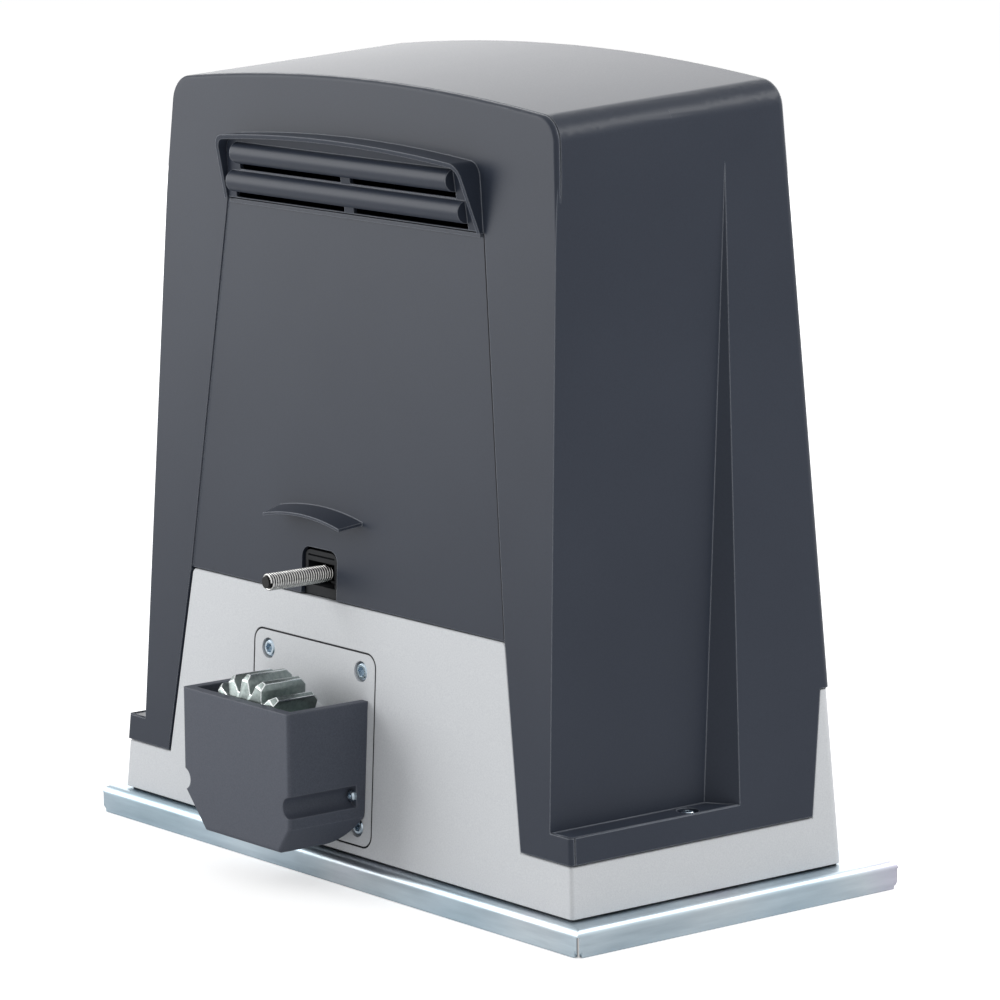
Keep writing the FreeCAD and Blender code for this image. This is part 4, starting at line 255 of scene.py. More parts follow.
def two_tone(tree, mask, dark, light):
    """A colour that goes from dark to light with a noise."""
    ramp = add_node(tree, "ShaderNodeValToRGB", links={"Fac": mask})
    ramp.color_ramp.elements[0].position = NOISE_LOW
    ramp.color_ramp.elements[1].position = NOISE_HIGH
    ramp.color_ramp.elements[0].color = linear(dark)
    ramp.color_ramp.elements[1].color = linear(light)
    return ramp.outputs["Color"]


def edge_normal(tree, radius_mm):
    """The normal near sharp edges, as if they were rounded by this radius."""
    return add_node(tree, "ShaderNodeBevel", {
        "samples": BEVEL_SAMPLES, "Radius": radius_mm * MM}).outputs["Normal"]


# The edges it marks are painted paler: partly rubbing wear, partly a painted highlight
# where a real edge catches the light.
def edge_mask(tree, rounded):
    """One along sharp edges and nought elsewhere, from the rounded normal."""
    plain = add_node(tree, "ShaderNodeNewGeometry").outputs["Normal"]
    same = add_node(tree, "ShaderNodeVectorMath", {"operation": "DOT_PRODUCT"},
                    {0: rounded, 1: plain}).outputs["Value"]
    return add_node(tree, "ShaderNodeMapRange",
                    {"From Min": PALE_EDGE_STARTS, "From Max": PALE_EDGE_FULL,
                     "To Min": 0.0, "To Max": 1.0},
                    {"Value": same}).outputs["Result"]


def surface_marks(tree, shader, rounded, height, strength, distance_mm):
    """Adds the finish's own bumps to the rounded normal."""
    normal = add_node(tree, "ShaderNodeBump",
                      {"Strength": strength, "Distance": distance_mm * MM},
                      {"Height": height, "Normal": rounded}).outputs["Normal"]
    tree.links.new(normal, shader.inputs["Normal"])


print("wear starts", round(math.degrees(math.acos(PALE_EDGE_STARTS))), "degrees off the face")

# %% [markdown]
# ## Graphite moulding
#
# Cover, gate-side panel and louvre plate are injection-moulded ABS.  The steel mould
# was spark-eroded, which leaves a fine even grain: it breaks up the gloss, so
# highlights turn into soft bands.  The real grain is about 0.3 mm; it is drawn at
# 0.9 mm, the finest that still shows.  The tone also drifts very slightly over the
# whole moulding, and the edges are painted paler: partly rubbing wear, partly a painted
# highlight.

# %% Spark-eroded ABS
GRAIN_MM = 0.9
DRIFT_SCALE = 9.0            # one drift of tone is about 110 mm long
graphite, tree, shader, coords = new_finish("graphite_abs_moulding")
grain = add_node(tree, "ShaderNodeTexNoise",
                 {"Scale": 1 / (GRAIN_MM * MM), "Detail": 2.0, "Roughness": 0.6},
                 {"Vector": coords}).outputs["Fac"]
broad = add_node(tree, "ShaderNodeTexNoise", {"Scale": DRIFT_SCALE, "Detail": 2.0},
                 {"Vector": coords}).outputs["Fac"]
tone = add_node(tree, "ShaderNodeMix",
                {"data_type": "RGBA", "blend_type": "MULTIPLY", 0: 0.22},
                {6: two_tone(tree, broad, "#313743", "#353b47"),
                 7: two_tone(tree, grain, "#b8b8b8", "#ffffff")})
rounded = edge_normal(tree, 0.9)
# edges painted paler (#8d929b): partly rubbing wear, partly a painted highlight along the
# edges
wear_and_highlight = add_node(tree, "ShaderNodeMix", {"data_type": "RGBA", 7: linear("#8d929b")},
                {0: edge_mask(tree, rounded), 6: tone.outputs[2]})
tree.links.new(wear_and_highlight.outputs[2], shader.inputs["Base Color"])
shine = add_node(tree, "ShaderNodeMapRange", {"To Min": 0.33, "To Max": 0.42},
                 {"Value": grain})
tree.links.new(shine.outputs["Result"], shader.inputs["Roughness"])
surface_marks(tree, shader, rounded, grain, 0.18, 0.05)
shader.inputs["IOR"].default_value = 1.53
shader.inputs["Specular IOR Level"].default_value = 0.2
print("graphite moulding: grain drawn at", GRAIN_MM, "mm")

# %% [markdown]
# ## Powder-painted casting
#
# The tub and the flange plate are die-cast aluminium with light grey powder paint.
# Powder melts into a skin with a soft orange-peel swell, a few millimetres across,
# over a fine even speckle.

# %% Light grey powder paint
PEEL_MM = 2.5
SPECKLE_MM = 0.8
casing_paint, tree, shader, coords = new_finish("light_grey_powder_paint")
peel = add_node(tree, "ShaderNodeTexNoise", {"Scale": 1 / (PEEL_MM * MM), "Detail": 1.0},
                {"Vector": coords}).outputs["Fac"]
speckle = add_node(tree, "ShaderNodeTexNoise", {"Scale": 1 / (SPECKLE_MM * MM)},
                   {"Vector": coords}).outputs["Fac"]
tree.links.new(two_tone(tree, speckle, "#cbced2", "#d5d8db"),
               shader.inputs["Base Color"])
shader.inputs["Roughness"].default_value = 0.48
surface_marks(tree, shader, edge_normal(tree, 0.7), peel, 0.12, 0.06)
print("powder paint: orange peel of", PEEL_MM, "mm, speckle of", SPECKLE_MM, "mm")

# %% [markdown]
# ## Painted guard
#
# The guard around the pinion is cast and painted a matt dark grey, a shade paler and
# rougher than the cover.  Its corners are rounder, and painted paler along the edges:
# partly rubbing by hands and tools, partly a painted highlight.

# %% Matt dark grey paint
guard_paint, tree, shader, coords = new_finish("matt_dark_grey_paint")
speckle = add_node(tree, "ShaderNodeTexNoise",
                   {"Scale": 1 / (SPECKLE_MM * MM), "Detail": 2.0},
                   {"Vector": coords}).outputs["Fac"]
rounded = edge_normal(tree, 1.3)
# edges painted paler (#666b76): partly rubbing wear, partly a painted highlight
wear_and_highlight = add_node(tree, "ShaderNodeMix", {"data_type": "RGBA", 7: linear("#666b76")},
                {0: edge_mask(tree, rounded),
                 6: two_tone(tree, speckle, "#3f4450", "#4a4f5b")})
tree.links.new(wear_and_highlight.outputs[2], shader.inputs["Base Color"])
shader.inputs["Roughness"].default_value = 0.58
surface_marks(tree, shader, rounded, speckle, 0.25, 0.05)
shader.inputs["Specular IOR Level"].default_value = 0.5
print("guard paint: speckle of", SPECKLE_MM, "mm")

# %% [markdown]
# ## Zinc-plated sheet
#
# The base plate is folded steel sheet, electroplated with zinc and passivated.  The
# passivation is a thin clear film, so it shows pale blue clouds, which turn faintly
# pink towards the rear.  Fine streaks follow the rolling direction of the sheet.

# %% Passivated zinc sheet
ROLLING_STREAK_MM = 6.0
ALONG_SHEET = (0.1, 0.1, 1.0)        # streaks are ten times as long as they are high
CLOUD_SCALE = 9.0                    # one cloud is about 110 mm long
PINK_STARTS, PINK_FULL = 0.06, 0.14  # metres behind the middle
FILM_TINTS = ((0.42, "#bfcfd9"), (0.54, "#c8d5dd"), (0.64, "#cfd8de"))
zinc_sheet, tree, shader, coords = new_finish("passivated_zinc_sheet")
stretched = add_node(tree, "ShaderNodeMapping", {"Scale": ALONG_SHEET},
                     {"Vector": coords}).outputs["Vector"]
streak = add_node(tree, "ShaderNodeTexNoise",
                  {"Scale": 1 / (ROLLING_STREAK_MM * MM), "Detail": 5.0,
                   "Roughness": 0.6}, {"Vector": stretched}).outputs["Fac"]
cloud = add_node(tree, "ShaderNodeTexNoise",
                 {"Scale": CLOUD_SCALE, "Detail": 1.5, "Distortion": 0.4},
                 {"Vector": coords}).outputs["Fac"]
place = add_node(tree, "ShaderNodeSeparateXYZ", links={"Vector": coords}).outputs
behind = add_node(tree, "ShaderNodeMapRange",
                  {"From Min": PINK_STARTS, "From Max": PINK_FULL,
                   "To Min": 0.0, "To Max": 0.3}, {"Value": place["Y"]})
cloud = add_node(tree, "ShaderNodeMath", {"operation": "ADD"},
                 {0: cloud, 1: behind.outputs["Result"]}).outputs[0]
film = add_node(tree, "ShaderNodeValToRGB", links={"Fac": cloud})
film.color_ramp.elements[0].position = 0.30
film.color_ramp.elements[0].color = linear("#b6c9d3")
film.color_ramp.elements[1].position = 0.86
film.color_ramp.elements[1].color = linear("#cdc3d8")
for stop, code in FILM_TINTS:
    film.color_ramp.elements.new(stop).color = linear(code)
tone = add_node(tree, "ShaderNodeMix",
                {"data_type": "RGBA", "blend_type": "MULTIPLY", 0: 0.5},
                {6: film.outputs["Color"],
                 7: two_tone(tree, streak, "#bcc4ca", "#ffffff")})
tree.links.new(tone.outputs[2], shader.inputs["Base Color"])
shader.inputs["Metallic"].default_value = 1.0
shine = add_node(tree, "ShaderNodeMapRange", {"To Min": 0.28, "To Max": 0.5},
                 {"Value": streak})
tree.links.new(shine.outputs["Result"], shader.inputs["Roughness"])
tree.links.new(edge_normal(tree, 0.8), shader.inputs["Normal"])
print("zinc sheet: streaks", ROLLING_STREAK_MM, "mm high, tints:", len(FILM_TINTS) + 2)

# %% [markdown]
# ## Plain finishes
#
# The other pieces are rubber, bright zinc, ground steel, bronze, copper, nickel and
# small mouldings.  They differ in colour, in gloss and in how coarse their surface
# is, so one table drives one small builder.  The last three values are roughness,
# how much metal shows, and the size of the surface mark in millimetres.

# %% A table of plain finishes
PLAIN_FINISHES = {
    "gasket_rubber": ("black_epdm_rubber", "#17171a", "#222226", 0.75, 0.0, 1.5),
    "zinc_screw": ("bright_blue_zinc", "#a9b9c6", "#c9d6e0", 0.26, 1.0, 1.2),
    "gear_steel": ("zinc_plated_gear_steel", "#87918f", "#a3adab", 0.34, 1.0, 2.0),
    "shaft_steel": ("ground_steel", "#9a9a9c", "#b4b4b6", 0.25, 1.0, 1.0),
    "wheel_bronze": ("machined_bronze", "#a87a3c", "#c09048", 0.3, 1.0, 1.0),
    "bearing_steel": ("polished_bearing_steel", "#b8b8ba", "#c8c8ca", 0.12, 1.0, 1.0),
    "seal_rubber": ("nitrile_rubber", "#141313", "#1e1c1c", 0.6, 0.0, 1.0),
    "cast_aluminium": ("as_cast_aluminium", "#8f9194", "#a4a6a9", 0.5, 1.0, 1.4),
    "motor_steel": ("black_stove_enamel", "#161618", "#1e1e21", 0.35, 0.0, 1.2),
    "lamination": ("stacked_laminations", "#3b3835", "#55524e", 0.45, 1.0, 0.7),
    "copper_winding": ("varnished_copper", "#8c4a26", "#b0663a", 0.3, 1.0, 1.0),
    "switch_plastic": ("dark_abs_moulding", "#111317", "#16191d", 0.6, 0.0, 0.9),
    "spring_steel": ("bright_spring_steel", "#b9b9b8", "#d2d2d0", 0.12, 1.0, 2.0),
    "plug_plastic": ("black_nylon", "#0b0b0c", "#131315", 0.4, 0.0, 0.9),
    "lever_zinc": ("painted_zinc_casting", "#3b3e45", "#474a52", 0.5, 0.0, 0.9),
    "lock_metal": ("bright_nickel", "#b5b2aa", "#c9c6be", 0.2, 1.0, 1.0),
    "board_green": ("solder_masked_board", "#0f4a28", "#165a32", 0.3, 0.0, 1.5),
    "terminal_plastic": ("green_polyamide", "#1f6b45", "#2a7d53", 0.45, 0.0, 1.0),
    "relay_plastic": ("blue_black_relay_case", "#131a28", "#1b2334", 0.3, 0.0, 1.0),
    "transformer_yellow": ("yellow_polyester_tape", "#b79a3a", "#cbb04a", 0.4, 0.0, 1.0),
    "capacitor_can": ("drawn_aluminium_can", "#b4b4b6", "#c8c8ca", 0.28, 1.0, 1.0),
}
SMALL_EDGE_MM = 0.3
GLOSSIEST, MATTEST = 0.85, 1.2       # how far the marks change the roughness
finishes = {"graphite_plastic": graphite, "casing_paint": casing_paint,
            "guard_paint": guard_paint, "zinc_plated_steel": zinc_sheet}
for slot, (name, dark_tone, light_tone, gloss, metal, mark_mm) in PLAIN_FINISHES.items():
    finish, tree, shader, coords = new_finish(name)
    mark = add_node(tree, "ShaderNodeTexNoise",
                    {"Scale": 1 / (mark_mm * MM), "Detail": 3.0},
                    {"Vector": coords}).outputs["Fac"]
    tree.links.new(two_tone(tree, mark, dark_tone, light_tone),
                   shader.inputs["Base Color"])
    shine = add_node(tree, "ShaderNodeMapRange",
                     {"To Min": gloss * GLOSSIEST, "To Max": gloss * MATTEST},
                     {"Value": mark})
    tree.links.new(shine.outputs["Result"], shader.inputs["Roughness"])
    surface_marks(tree, shader, edge_normal(tree, SMALL_EDGE_MM), mark, 0.1, 0.04)
    shader.inputs["Metallic"].default_value = metal
    if not metal:
        shader.inputs["Specular IOR Level"].default_value = 0.25
    finishes[slot] = finish
print("finishes made:", len(finishes))

# %% [markdown]
# ## Dress the model
#
# The record names a material slot for every node, and each slot has one finish.

# %% Give every CAD node its finish
for row in frame["record"]["subparts"]:
    for material_slot in nodes[row["node"]].material_slots:
        material_slot.material = finishes[row["material_slot"]]

# %% [markdown]
# ## Geometry trees and plain meshes
#
# Pieces that repeat, or follow a line, are made by trees of geometry nodes.  Each tree
# starts with named inputs for its sizes and ends in real geometry that wears its
# finish.  Its result is kept as a plain mesh, so nothing live is left on the piece.

# %% Start a tree, end it, and keep what it makes
def new_tree(name, inputs):
    """A geometry tree with named inputs, and the sockets that carry their values."""
    group = bpy.data.node_groups.new(name, "GeometryNodeTree")
    group.interface.new_socket("Geometry", in_out="OUTPUT",
                               socket_type="NodeSocketGeometry")
    for label, kind, value in inputs:
        socket = group.interface.new_socket(label, in_out="INPUT",
                                            socket_type="NodeSocket" + kind)
        if value is not None:
            socket.default_value = value
    return group, add_node(group, "NodeGroupInput").outputs


def end_tree(group, geometry, finish):
    """Ends a tree in real geometry that wears its finish."""
    whole = add_node(group, "GeometryNodeRealizeInstances", links={"Geometry": geometry})
    dressed = add_node(group, "GeometryNodeSetMaterial", links={
        "Geometry": whole.outputs["Geometry"], "Material": finish})
    add_node(group, "NodeGroupOutput", links={"Geometry": dressed.outputs["Geometry"]})


def settled(maker, name):
    """What the maker's modifiers make of it, as a plain mesh.  The maker goes."""
    depsgraph = bpy.context.evaluated_depsgraph_get()
    mesh = bpy.data.meshes.new_from_object(maker.evaluated_get(depsgraph),
                                           depsgraph=depsgraph)
    mesh.name = name
    bpy.data.objects.remove(maker)
    return mesh


def plain_mesh(name, group, values, body, places=(), edges=()):
    """Runs a tree on bare points or lines, and keeps the result as a plain mesh."""
    seed = bpy.data.meshes.new(name + "_seed")
    seed.from_pydata(list(places), list(edges), [])
    maker = into_scene(name + "_maker", seed)
    modifier = maker.modifiers.new("maker", "NODES")
    modifier.node_group = group
    for item in group.interface.items_tree:
        if item.item_type == "SOCKET" and item.in_out == "INPUT" and item.name in values:
            modifier[item.identifier] = values[item.name]
    maker.update_tag()
    mesh = settled(maker, name)
    piece = into_scene(name, mesh)
    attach(piece, body)
    print(name, "has", len(mesh.polygons), "faces")
    return piece


# %% [markdown]
# ## The limit spring
#
# The arm that feels the end stops is a close-wound spring of round steel wire around
# a thin core.  Its shape follows a rule, one turn for each wire thickness, so it is a
# geometry-nodes tree: a spiral for the path, a circle for the wire, and inputs for the
# sizes.  The result rides on the arm.

# %% A tree that winds a spring along Y
STEPS_PER_TURN = 24
WIRE_SIDES = 10
ONTO_Y = (-math.pi / 2, 0, 0)        # the spiral is made along Z
winder, sizes = new_tree("spring_winder", (
    ("Coil radius", "Float", 0.004), ("Wire radius", "Float", 0.0008),
    ("Turns", "Float", 30.0), ("Length", "Float", 0.05),
    ("Start", "Vector", None), ("Finish", "Material", None)))
helix = add_node(winder, "GeometryNodeCurveSpiral", {"Resolution": STEPS_PER_TURN}, {
    "Rotations": sizes["Turns"], "Start Radius": sizes["Coil radius"],
    "End Radius": sizes["Coil radius"], "Height": sizes["Length"]})
wire = add_node(winder, "GeometryNodeCurvePrimitiveCircle", {"Resolution": WIRE_SIDES},
                {"Radius": sizes["Wire radius"]})
tube = add_node(winder, "GeometryNodeCurveToMesh", {"Fill Caps": True}, {
    "Curve": helix.outputs["Curve"], "Profile Curve": wire.outputs["Curve"]})
laid = add_node(winder, "GeometryNodeTransform", {"Rotation": ONTO_Y}, {
    "Geometry": tube.outputs["Mesh"], "Translation": sizes["Start"]})
smooth = add_node(winder, "GeometryNodeSetShadeSmooth",
                  links={"Geometry": laid.outputs["Geometry"]})
end_tree(winder, smooth.outputs["Geometry"], sizes["Finish"])
print("spring tree:", len(winder.nodes), "nodes")

# %% Wind the limit spring
WIRE_R = 0.68 * MM
WIRE_GAP = 0.22 * MM
spring_low, spring_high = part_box("limit_spring")
spring_middle = (spring_low + spring_high) / 2
spring_outer_r = (spring_high.x - spring_low.x) / 2
wound_length = spring_high.y - spring_low.y - 2 * WIRE_R
turns = wound_length / (2 * WIRE_R + WIRE_GAP)
spring = plain_mesh("limit_coil", winder, {
    "Coil radius": spring_outer_r - WIRE_R, "Wire radius": WIRE_R, "Turns": turns,
    "Length": wound_length,
    "Start": (spring_middle.x, spring_low.y + WIRE_R, spring_middle.z),
    "Finish": finishes["spring_steel"]}, "limit_arm")
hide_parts("limit_spring")
print("turns in the limit spring:", round(turns, 1))

# %% [markdown]
# ## Socket screws
#
# The flange, the guard and the cover are held by cap screws with a hexagonal socket.
# They repeat, so one tree makes them all: a shank, a head with a turned chamfer, and a
# six-sided prism cut out of it.  The tree puts one screw on each point that it gets,
# and the points are read from the model's own plain screws.

# %% A tree that puts a socket screw on each point
HEAD_SIDES = 40
SHANK_SIDES = 24
SHANK_MIDDLE = -0.499        # in shank lengths, so that the shank just enters the head
screw_maker, sizes = new_tree("socket_screw_maker", (
    ("Geometry", "Geometry", None), ("Head radius", "Float", 0.005),
    ("Head height", "Float", 0.004), ("Chamfer", "Float", 0.0006),
    ("Socket radius", "Float", 0.0028), ("Socket depth", "Float", 0.0025),
    ("Shank radius", "Float", 0.003), ("Shank length", "Float", 0.006),
    ("Turn", "Rotation", None), ("Finish", "Material", None)))


def sum_of(first, second, operation="ADD"):
    """One sum, difference or product of two lengths in the screw tree."""
    node = add_node(screw_maker, "ShaderNodeMath", {"operation": operation})
    for index, value in enumerate((first, second)):
        if isinstance(value, float):
            node.inputs[index].default_value = value
        else:
            screw_maker.links.new(value, node.inputs[index])
    return node.outputs[0]


def lifted(mesh, height):
    """The mesh, moved up along the screw."""
    offset = add_node(screw_maker, "ShaderNodeCombineXYZ", links={"Z": height}).outputs[0]
    return add_node(screw_maker, "GeometryNodeTransform",
                    links={"Geometry": mesh, "Translation": offset}).outputs["Geometry"]


barrel_height = sum_of(sizes["Head height"], sizes["Chamfer"], "SUBTRACT")
barrel = add_node(screw_maker, "GeometryNodeMeshCylinder", {"Vertices": HEAD_SIDES}, {
    "Radius": sizes["Head radius"], "Depth": barrel_height})
rim = add_node(screw_maker, "GeometryNodeMeshCone", {"Vertices": HEAD_SIDES}, {
    "Radius Top": sum_of(sizes["Head radius"], sizes["Chamfer"], "SUBTRACT"),
    "Radius Bottom": sizes["Head radius"], "Depth": sizes["Chamfer"]})
shank = add_node(screw_maker, "GeometryNodeMeshCylinder", {"Vertices": SHANK_SIDES}, {
    "Radius": sizes["Shank radius"], "Depth": sizes["Shank length"]})
socket = add_node(screw_maker, "GeometryNodeMeshCylinder", {"Vertices": 6}, {
    "Radius": sizes["Socket radius"],
    "Depth": sum_of(sizes["Socket depth"], 2.0, "MULTIPLY")})
stack = add_node(screw_maker, "GeometryNodeMeshBoolean",
                 {"operation": "UNION", "solver": "EXACT"})
shank_middle = sum_of(sizes["Shank length"], SHANK_MIDDLE, "MULTIPLY")
for mesh in (lifted(barrel.outputs["Mesh"], sum_of(barrel_height, 0.5, "MULTIPLY")),
             lifted(rim.outputs["Mesh"], barrel_height),
             lifted(shank.outputs["Mesh"], shank_middle)):
    screw_maker.links.new(mesh, stack.inputs["Mesh 2"])
head = add_node(screw_maker, "GeometryNodeMeshBoolean",
                {"operation": "DIFFERENCE", "solver": "EXACT"},
                {"Mesh 1": stack.outputs["Mesh"],
                 "Mesh 2": lifted(socket.outputs["Mesh"], sizes["Head height"])})
flat = add_node(screw_maker, "GeometryNodeSetShadeSmooth", {"Shade Smooth": False},
                {"Geometry": head.outputs["Mesh"]})
placed = add_node(screw_maker, "GeometryNodeInstanceOnPoints", links={
    "Points": sizes["Geometry"], "Instance": flat.outputs["Geometry"],
    "Rotation": sizes["Turn"]})
end_tree(screw_maker, placed.outputs["Instances"], sizes["Finish"])
print("screw tree:", len(screw_maker.nodes), "nodes")

# %% Find the model's own screws
WELD_DISTANCE = 1e-6


def joined(node):
    """A CAD node's loose triangles, joined where their corners meet."""
    work = bmesh.new()
    work.from_mesh(nodes[node].data)
    bmesh.ops.remove_doubles(work, verts=work.verts, dist=WELD_DISTANCE)
    return work


def loose_parts(node):
    """The lowest and highest corner of each loose part of a CAD node's mesh.

    They are sorted from left to right, so that every run gives the same order."""
    work = joined(node)
    left = set(work.verts)
    boxes = []
    while left:
        front = [left.pop()]
        found = list(front)
        while front:
            for edge in front.pop().link_edges:
                for vertex in edge.verts:
                    if vertex in left:
                        left.remove(vertex)
                        front.append(vertex)
                        found.append(vertex)
        boxes.append(tuple(Vector([pick(v.co[axis] for v in found) for axis in range(3)])
                           for pick in (min, max)))
    work.free()
    return sorted(boxes, key=lambda box: tuple(box[0]))


def middle(low, high, y=None, z=None):
    """The middle of a box, with any coordinate that is given instead."""
    return tuple(given if given is not None else (low[axis] + high[axis]) / 2
                 for axis, given in enumerate((None, y, z)))


print("screws in the flange:", len(loose_parts("flange_screws")))

# %% Put the new screws in their places
FACING_GATE = (math.pi / 2, 0.0, 0.0)
FACING_UP = (0.0, 0.0, 0.0)
SCREW_SIZES = ("Head radius", "Head height", "Chamfer", "Socket radius", "Socket depth",
               "Shank radius", "Shank length")
FLANGE_HEAD_MM = 4.2
GUARD_HEAD_MM = 2.6
COVER_SEAT_MM = 3.2          # from the top of the plain screw down to the new one's seat
LEDGE_Z = 58.5 * MM
HEAD_BELOW_LEDGE_MM = 0.3


def cap_screws(name, places, facing, sizes_mm):
    """One piece with a socket screw at every place."""
    values = {label: size * MM for label, size in zip(SCREW_SIZES, sizes_mm)}
    values.update({"Turn": facing, "Finish": finishes["zinc_screw"]})
    return plain_mesh(name, screw_maker, values, "root", places)


flange_places = [middle(low, high, y=low.y + FLANGE_HEAD_MM * MM)
                 for low, high in loose_parts("flange_screws")]
flange_caps = cap_screws("flange_cap_screws", flange_places, FACING_GATE,
                         (4.8, FLANGE_HEAD_MM, 0.9, 2.9, 2.6, 2.9, 8.0))
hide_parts("flange_screws")

guard_places = [middle(low, high, y=low.y + GUARD_HEAD_MM * MM)
                for low, high in loose_parts("guard_screws")]
guard_caps = cap_screws("guard_cap_screws", guard_places, FACING_GATE,
                        (3.1, GUARD_HEAD_MM, 0.9, 1.5, 1.4, 1.9, 9.0))
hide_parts("guard_screws")

cover_places = [middle(low, high, z=high.z - COVER_SEAT_MM * MM)
                for low, high in loose_parts("cover_screws")]
cover_head_mm = (LEDGE_Z - cover_places[0][2]) / MM - HEAD_BELOW_LEDGE_MM
cover_caps = cap_screws("cover_cap_screws", cover_places, FACING_UP,
                        (3.9, cover_head_mm, 1.1, 1.9, 1.6, 2.4, 28.0))
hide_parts("cover_screws")
print("screws placed:", len(flange_places) + len(guard_places) + len(cover_places))

# %% [markdown]
# ## Beads and painted shadow lines
#
# Where two mouldings meet, a thin black cord lies on the joint as a painted shadow line
# for the shade in the gap, and the screw ledge at each end has a fine raised bead round
# it.  All of them are a round section that follows a line, so one tree sweeps it along
# any chain of points.  The lines lie in the leaning front face, which one function gives.

# %% A tree that sweeps a round bead along a chain of points
BEAD_SIDES = 8
bead_layer, sizes = new_tree("bead_layer", (
    ("Geometry", "Geometry", None), ("Bead radius", "Float", 0.0005),
    ("Finish", "Material", None)))
path = add_node(bead_layer, "GeometryNodeMeshToCurve", links={"Mesh": sizes["Geometry"]})
section = add_node(bead_layer, "GeometryNodeCurvePrimitiveCircle",
                   {"Resolution": BEAD_SIDES}, {"Radius": sizes["Bead radius"]})
bead = add_node(bead_layer, "GeometryNodeCurveToMesh", {"Fill Caps": True}, {
    "Curve": path.outputs["Curve"], "Profile Curve": section.outputs["Curve"]})
end_tree(bead_layer, bead.outputs["Mesh"], sizes["Finish"])


def chain(count, start=0, closed=False):
    """The edges of a chain of points, for one open or closed line."""
    links = [(start + i, start + i + 1) for i in range(count - 1)]
    return links + [(start + count - 1, start)] if closed else links


def lay_bead(name, slot_name, radius_mm, points, edges):
    """One piece with a bead along every chain of points."""
    return plain_mesh(name, bead_layer,
                      {"Bead radius": radius_mm * MM, "Finish": finishes[slot_name]},
                      "root", points, edges)


print("bead tree:", len(bead_layer.nodes), "nodes")

# %% A black cord round the flange plate, a painted shadow line for its joint
FRONT_FOOT = (-83.70, 16.4)          # y and z where the front face starts, in mm
FRONT_LEAN = 0.0494                  # how far it leans back for each mm of height
FLANGE_MIDDLE = (-24.5, 74.5)
FLANGE_HALF = (55.0, 53.0)
FLANGE_CORNER = 7.5
CORNER_STEPS = 8
SHADOW_LINE_SUNK = 0.35
SHADOW_LINE_MM = 0.5


def on_front(x, z, sunk=0.0):
    """A point of the casing's front face, from its place in millimetres."""
    y = FRONT_FOOT[0] + FRONT_LEAN * (z - FRONT_FOOT[1]) + sunk
    return (x * MM, y * MM, z * MM)


loop = []
for side_x, side_z, first in ((1, 1, 0), (-1, 1, 90), (-1, -1, 180), (1, -1, 270)):
    corner_x = FLANGE_MIDDLE[0] + side_x * (FLANGE_HALF[0] - FLANGE_CORNER)
    corner_z = FLANGE_MIDDLE[1] + side_z * (FLANGE_HALF[1] - FLANGE_CORNER)
    for step in range(CORNER_STEPS + 1):
        angle = math.radians(first + 90 * step / CORNER_STEPS)
        loop.append(on_front(corner_x + FLANGE_CORNER * math.cos(angle),
                             corner_z + FLANGE_CORNER * math.sin(angle), SHADOW_LINE_SUNK))
# a black rubber cord where the joint is only in shade: a painted shadow line
lay_bead("flange_painted_shadow_line", "gasket_rubber", SHADOW_LINE_MM, loop,
         chain(len(loop), closed=True))

# %% The panel's side joints: a black cord on the right as a painted shadow line, a fine rib on the left
PANEL_EDGE = ((139.7, 152.6), (112.7, 361.4))    # x and z of its lower and upper end
RIB_MM = 0.45
shadow_side = [on_front(x - 0.1, z, -0.1) for x, z in PANEL_EDGE]
# the black cord on the right stands in for the shade in that joint: a painted shadow line
lay_bead("panel_painted_shadow_line", "gasket_rubber", SHADOW_LINE_MM, shadow_side, chain(2))
lit_side = [on_front(-x - 0.4, z, 0.2) for x, z in PANEL_EDGE]
lay_bead("panel_edge_rib", "graphite_plastic", RIB_MM, lit_side, chain(2))

# %% The fine bead round each screw ledge
LEDGE_OUTLINE = ((182.7, -81.2), (197.9, -81.2), (197.9, 32.6), (182.7, 22.6))
LEDGE_BEAD_MM = 0.55
BEAD_ABOVE_LEDGE = 0.1 * MM
corners = [(side * x * MM, y * MM, LEDGE_Z + BEAD_ABOVE_LEDGE)
           for side in (-1, 1) for x, y in LEDGE_OUTLINE]
lay_bead("ledge_beads", "graphite_plastic", LEDGE_BEAD_MM, corners,
         chain(4, 0, True) + chain(4, 4, True))

# %% [markdown]
# ## Pinion with burnished edges
#
# The teeth are milled, then zinc plated, and the rack rubs their edges bright.  The
# model's own pinion has the right teeth with dead sharp edges, so a welded copy of it
# gets a bevel, and the bevel's faces take a brighter finish of their own.

# %% A bright finish for the rubbed edges
SCRATCH_MM = 0.8
burnished, tree, shader, coords = new_finish("burnished_zinc_edge")
scratch = add_node(tree, "ShaderNodeTexNoise",
                   {"Scale": 1 / (SCRATCH_MM * MM), "Detail": 3.0},
                   {"Vector": coords}).outputs["Fac"]
tree.links.new(two_tone(tree, scratch, "#dfe6e6", "#f4f8f8"),
               shader.inputs["Base Color"])
shader.inputs["Metallic"].default_value = 1.0
shader.inputs["Roughness"].default_value = 0.22
print("burnished edge: scratches of", SCRATCH_MM, "mm")

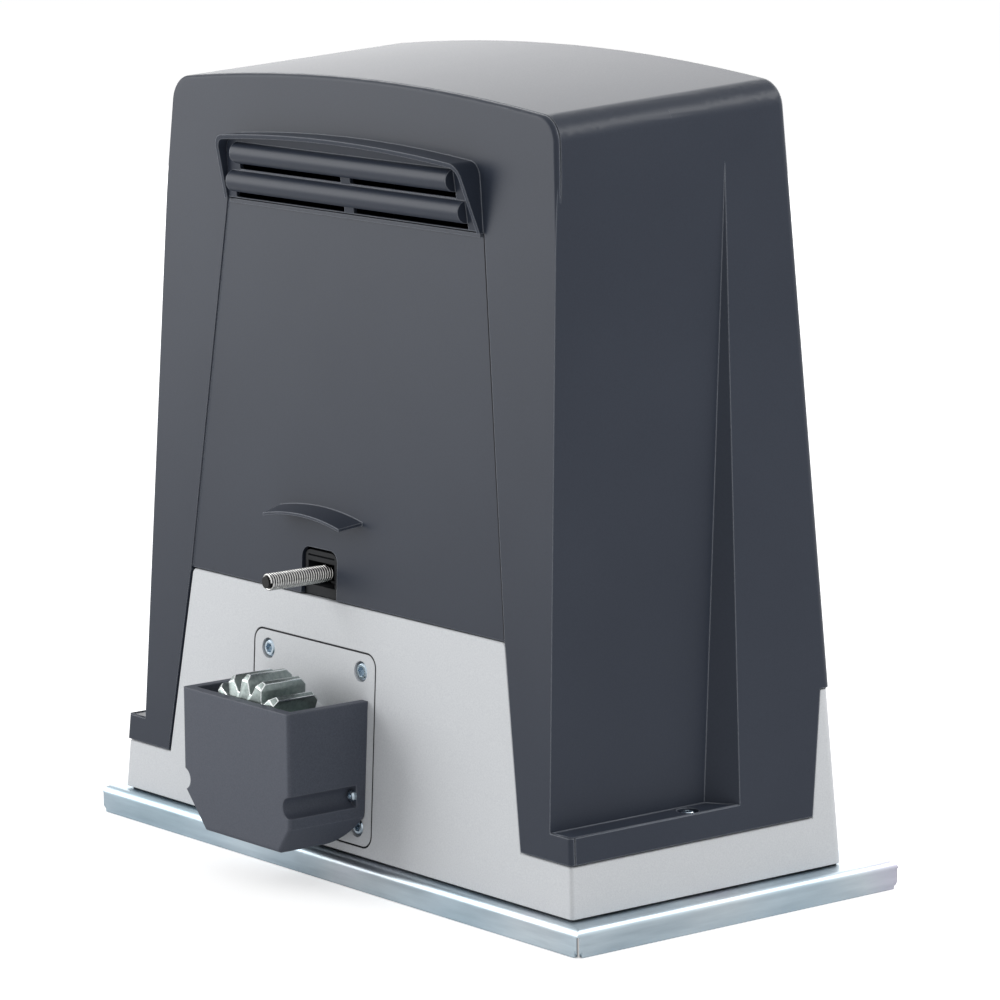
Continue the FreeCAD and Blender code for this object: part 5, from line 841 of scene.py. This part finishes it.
# %% Bevel a copy of the pinion
FLAT_WITHIN = math.radians(0.5)
EDGE_WEAR_MM = 0.7
EDGE_WEAR_STEPS = 2
WORN_FROM = math.radians(38)         # edges sharper than this are worn
TOOTH_CREASE = math.radians(24)


def own_copy(work, name, *materials):
    """The joined triangles as a mesh with its own materials and no old shading."""
    mesh = bpy.data.meshes.new(name)
    work.to_mesh(mesh)
    work.free()
    for layer in ("custom_normal", "sharp_face", "sharp_edge"):
        if layer in mesh.attributes:
            mesh.attributes.remove(mesh.attributes[layer])
    mesh.materials.clear()
    for material in materials:
        mesh.materials.append(material)
    return mesh


work = joined("drive_pinion")
bmesh.ops.dissolve_limit(work, angle_limit=FLAT_WITHIN, verts=work.verts,
                         edges=work.edges)
blank = into_scene("pinion_blank", own_copy(work, "pinion_blank",
                                            finishes["gear_steel"], burnished))
bevel = blank.modifiers.new("worn_edges", "BEVEL")
bevel.width = EDGE_WEAR_MM * MM
bevel.segments = EDGE_WEAR_STEPS
bevel.limit_method = "ANGLE"
bevel.angle_limit = WORN_FROM
bevel.material = 1
mesh = settled(blank, "worn_pinion")
mesh.shade_smooth()
mesh.set_sharp_from_angle(angle=TOOTH_CREASE)
worn_pinion = into_scene("worn_pinion", mesh)
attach(worn_pinion, "output")
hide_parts("drive_pinion")
print("pinion faces after the bevel:", len(mesh.polygons))

# %% [markdown]
# ## A smoother cover
#
# The cover is the piece that mirrors the lights, so its shading shows every long thin
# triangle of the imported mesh.  A welded copy with weighted normals has the same shape
# and lets the highlight run evenly round the top edge.

# %% Weld the cover and weight its normals
COVER_CREASE = math.radians(25)
LARGE_FACES_FIRST = 100
mesh = own_copy(joined("cover"), "cover_skin_blank", graphite)
mesh.set_sharp_from_angle(angle=COVER_CREASE)
blank = into_scene("cover_skin_maker", mesh)
even = blank.modifiers.new("even_shading", "WEIGHTED_NORMAL")
even.keep_sharp = True
even.weight = LARGE_FACES_FIRST
skin = into_scene("cover_skin", settled(blank, "cover_skin"))
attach(skin, "root")
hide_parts("cover")
print("cover faces:", len(skin.data.polygons))
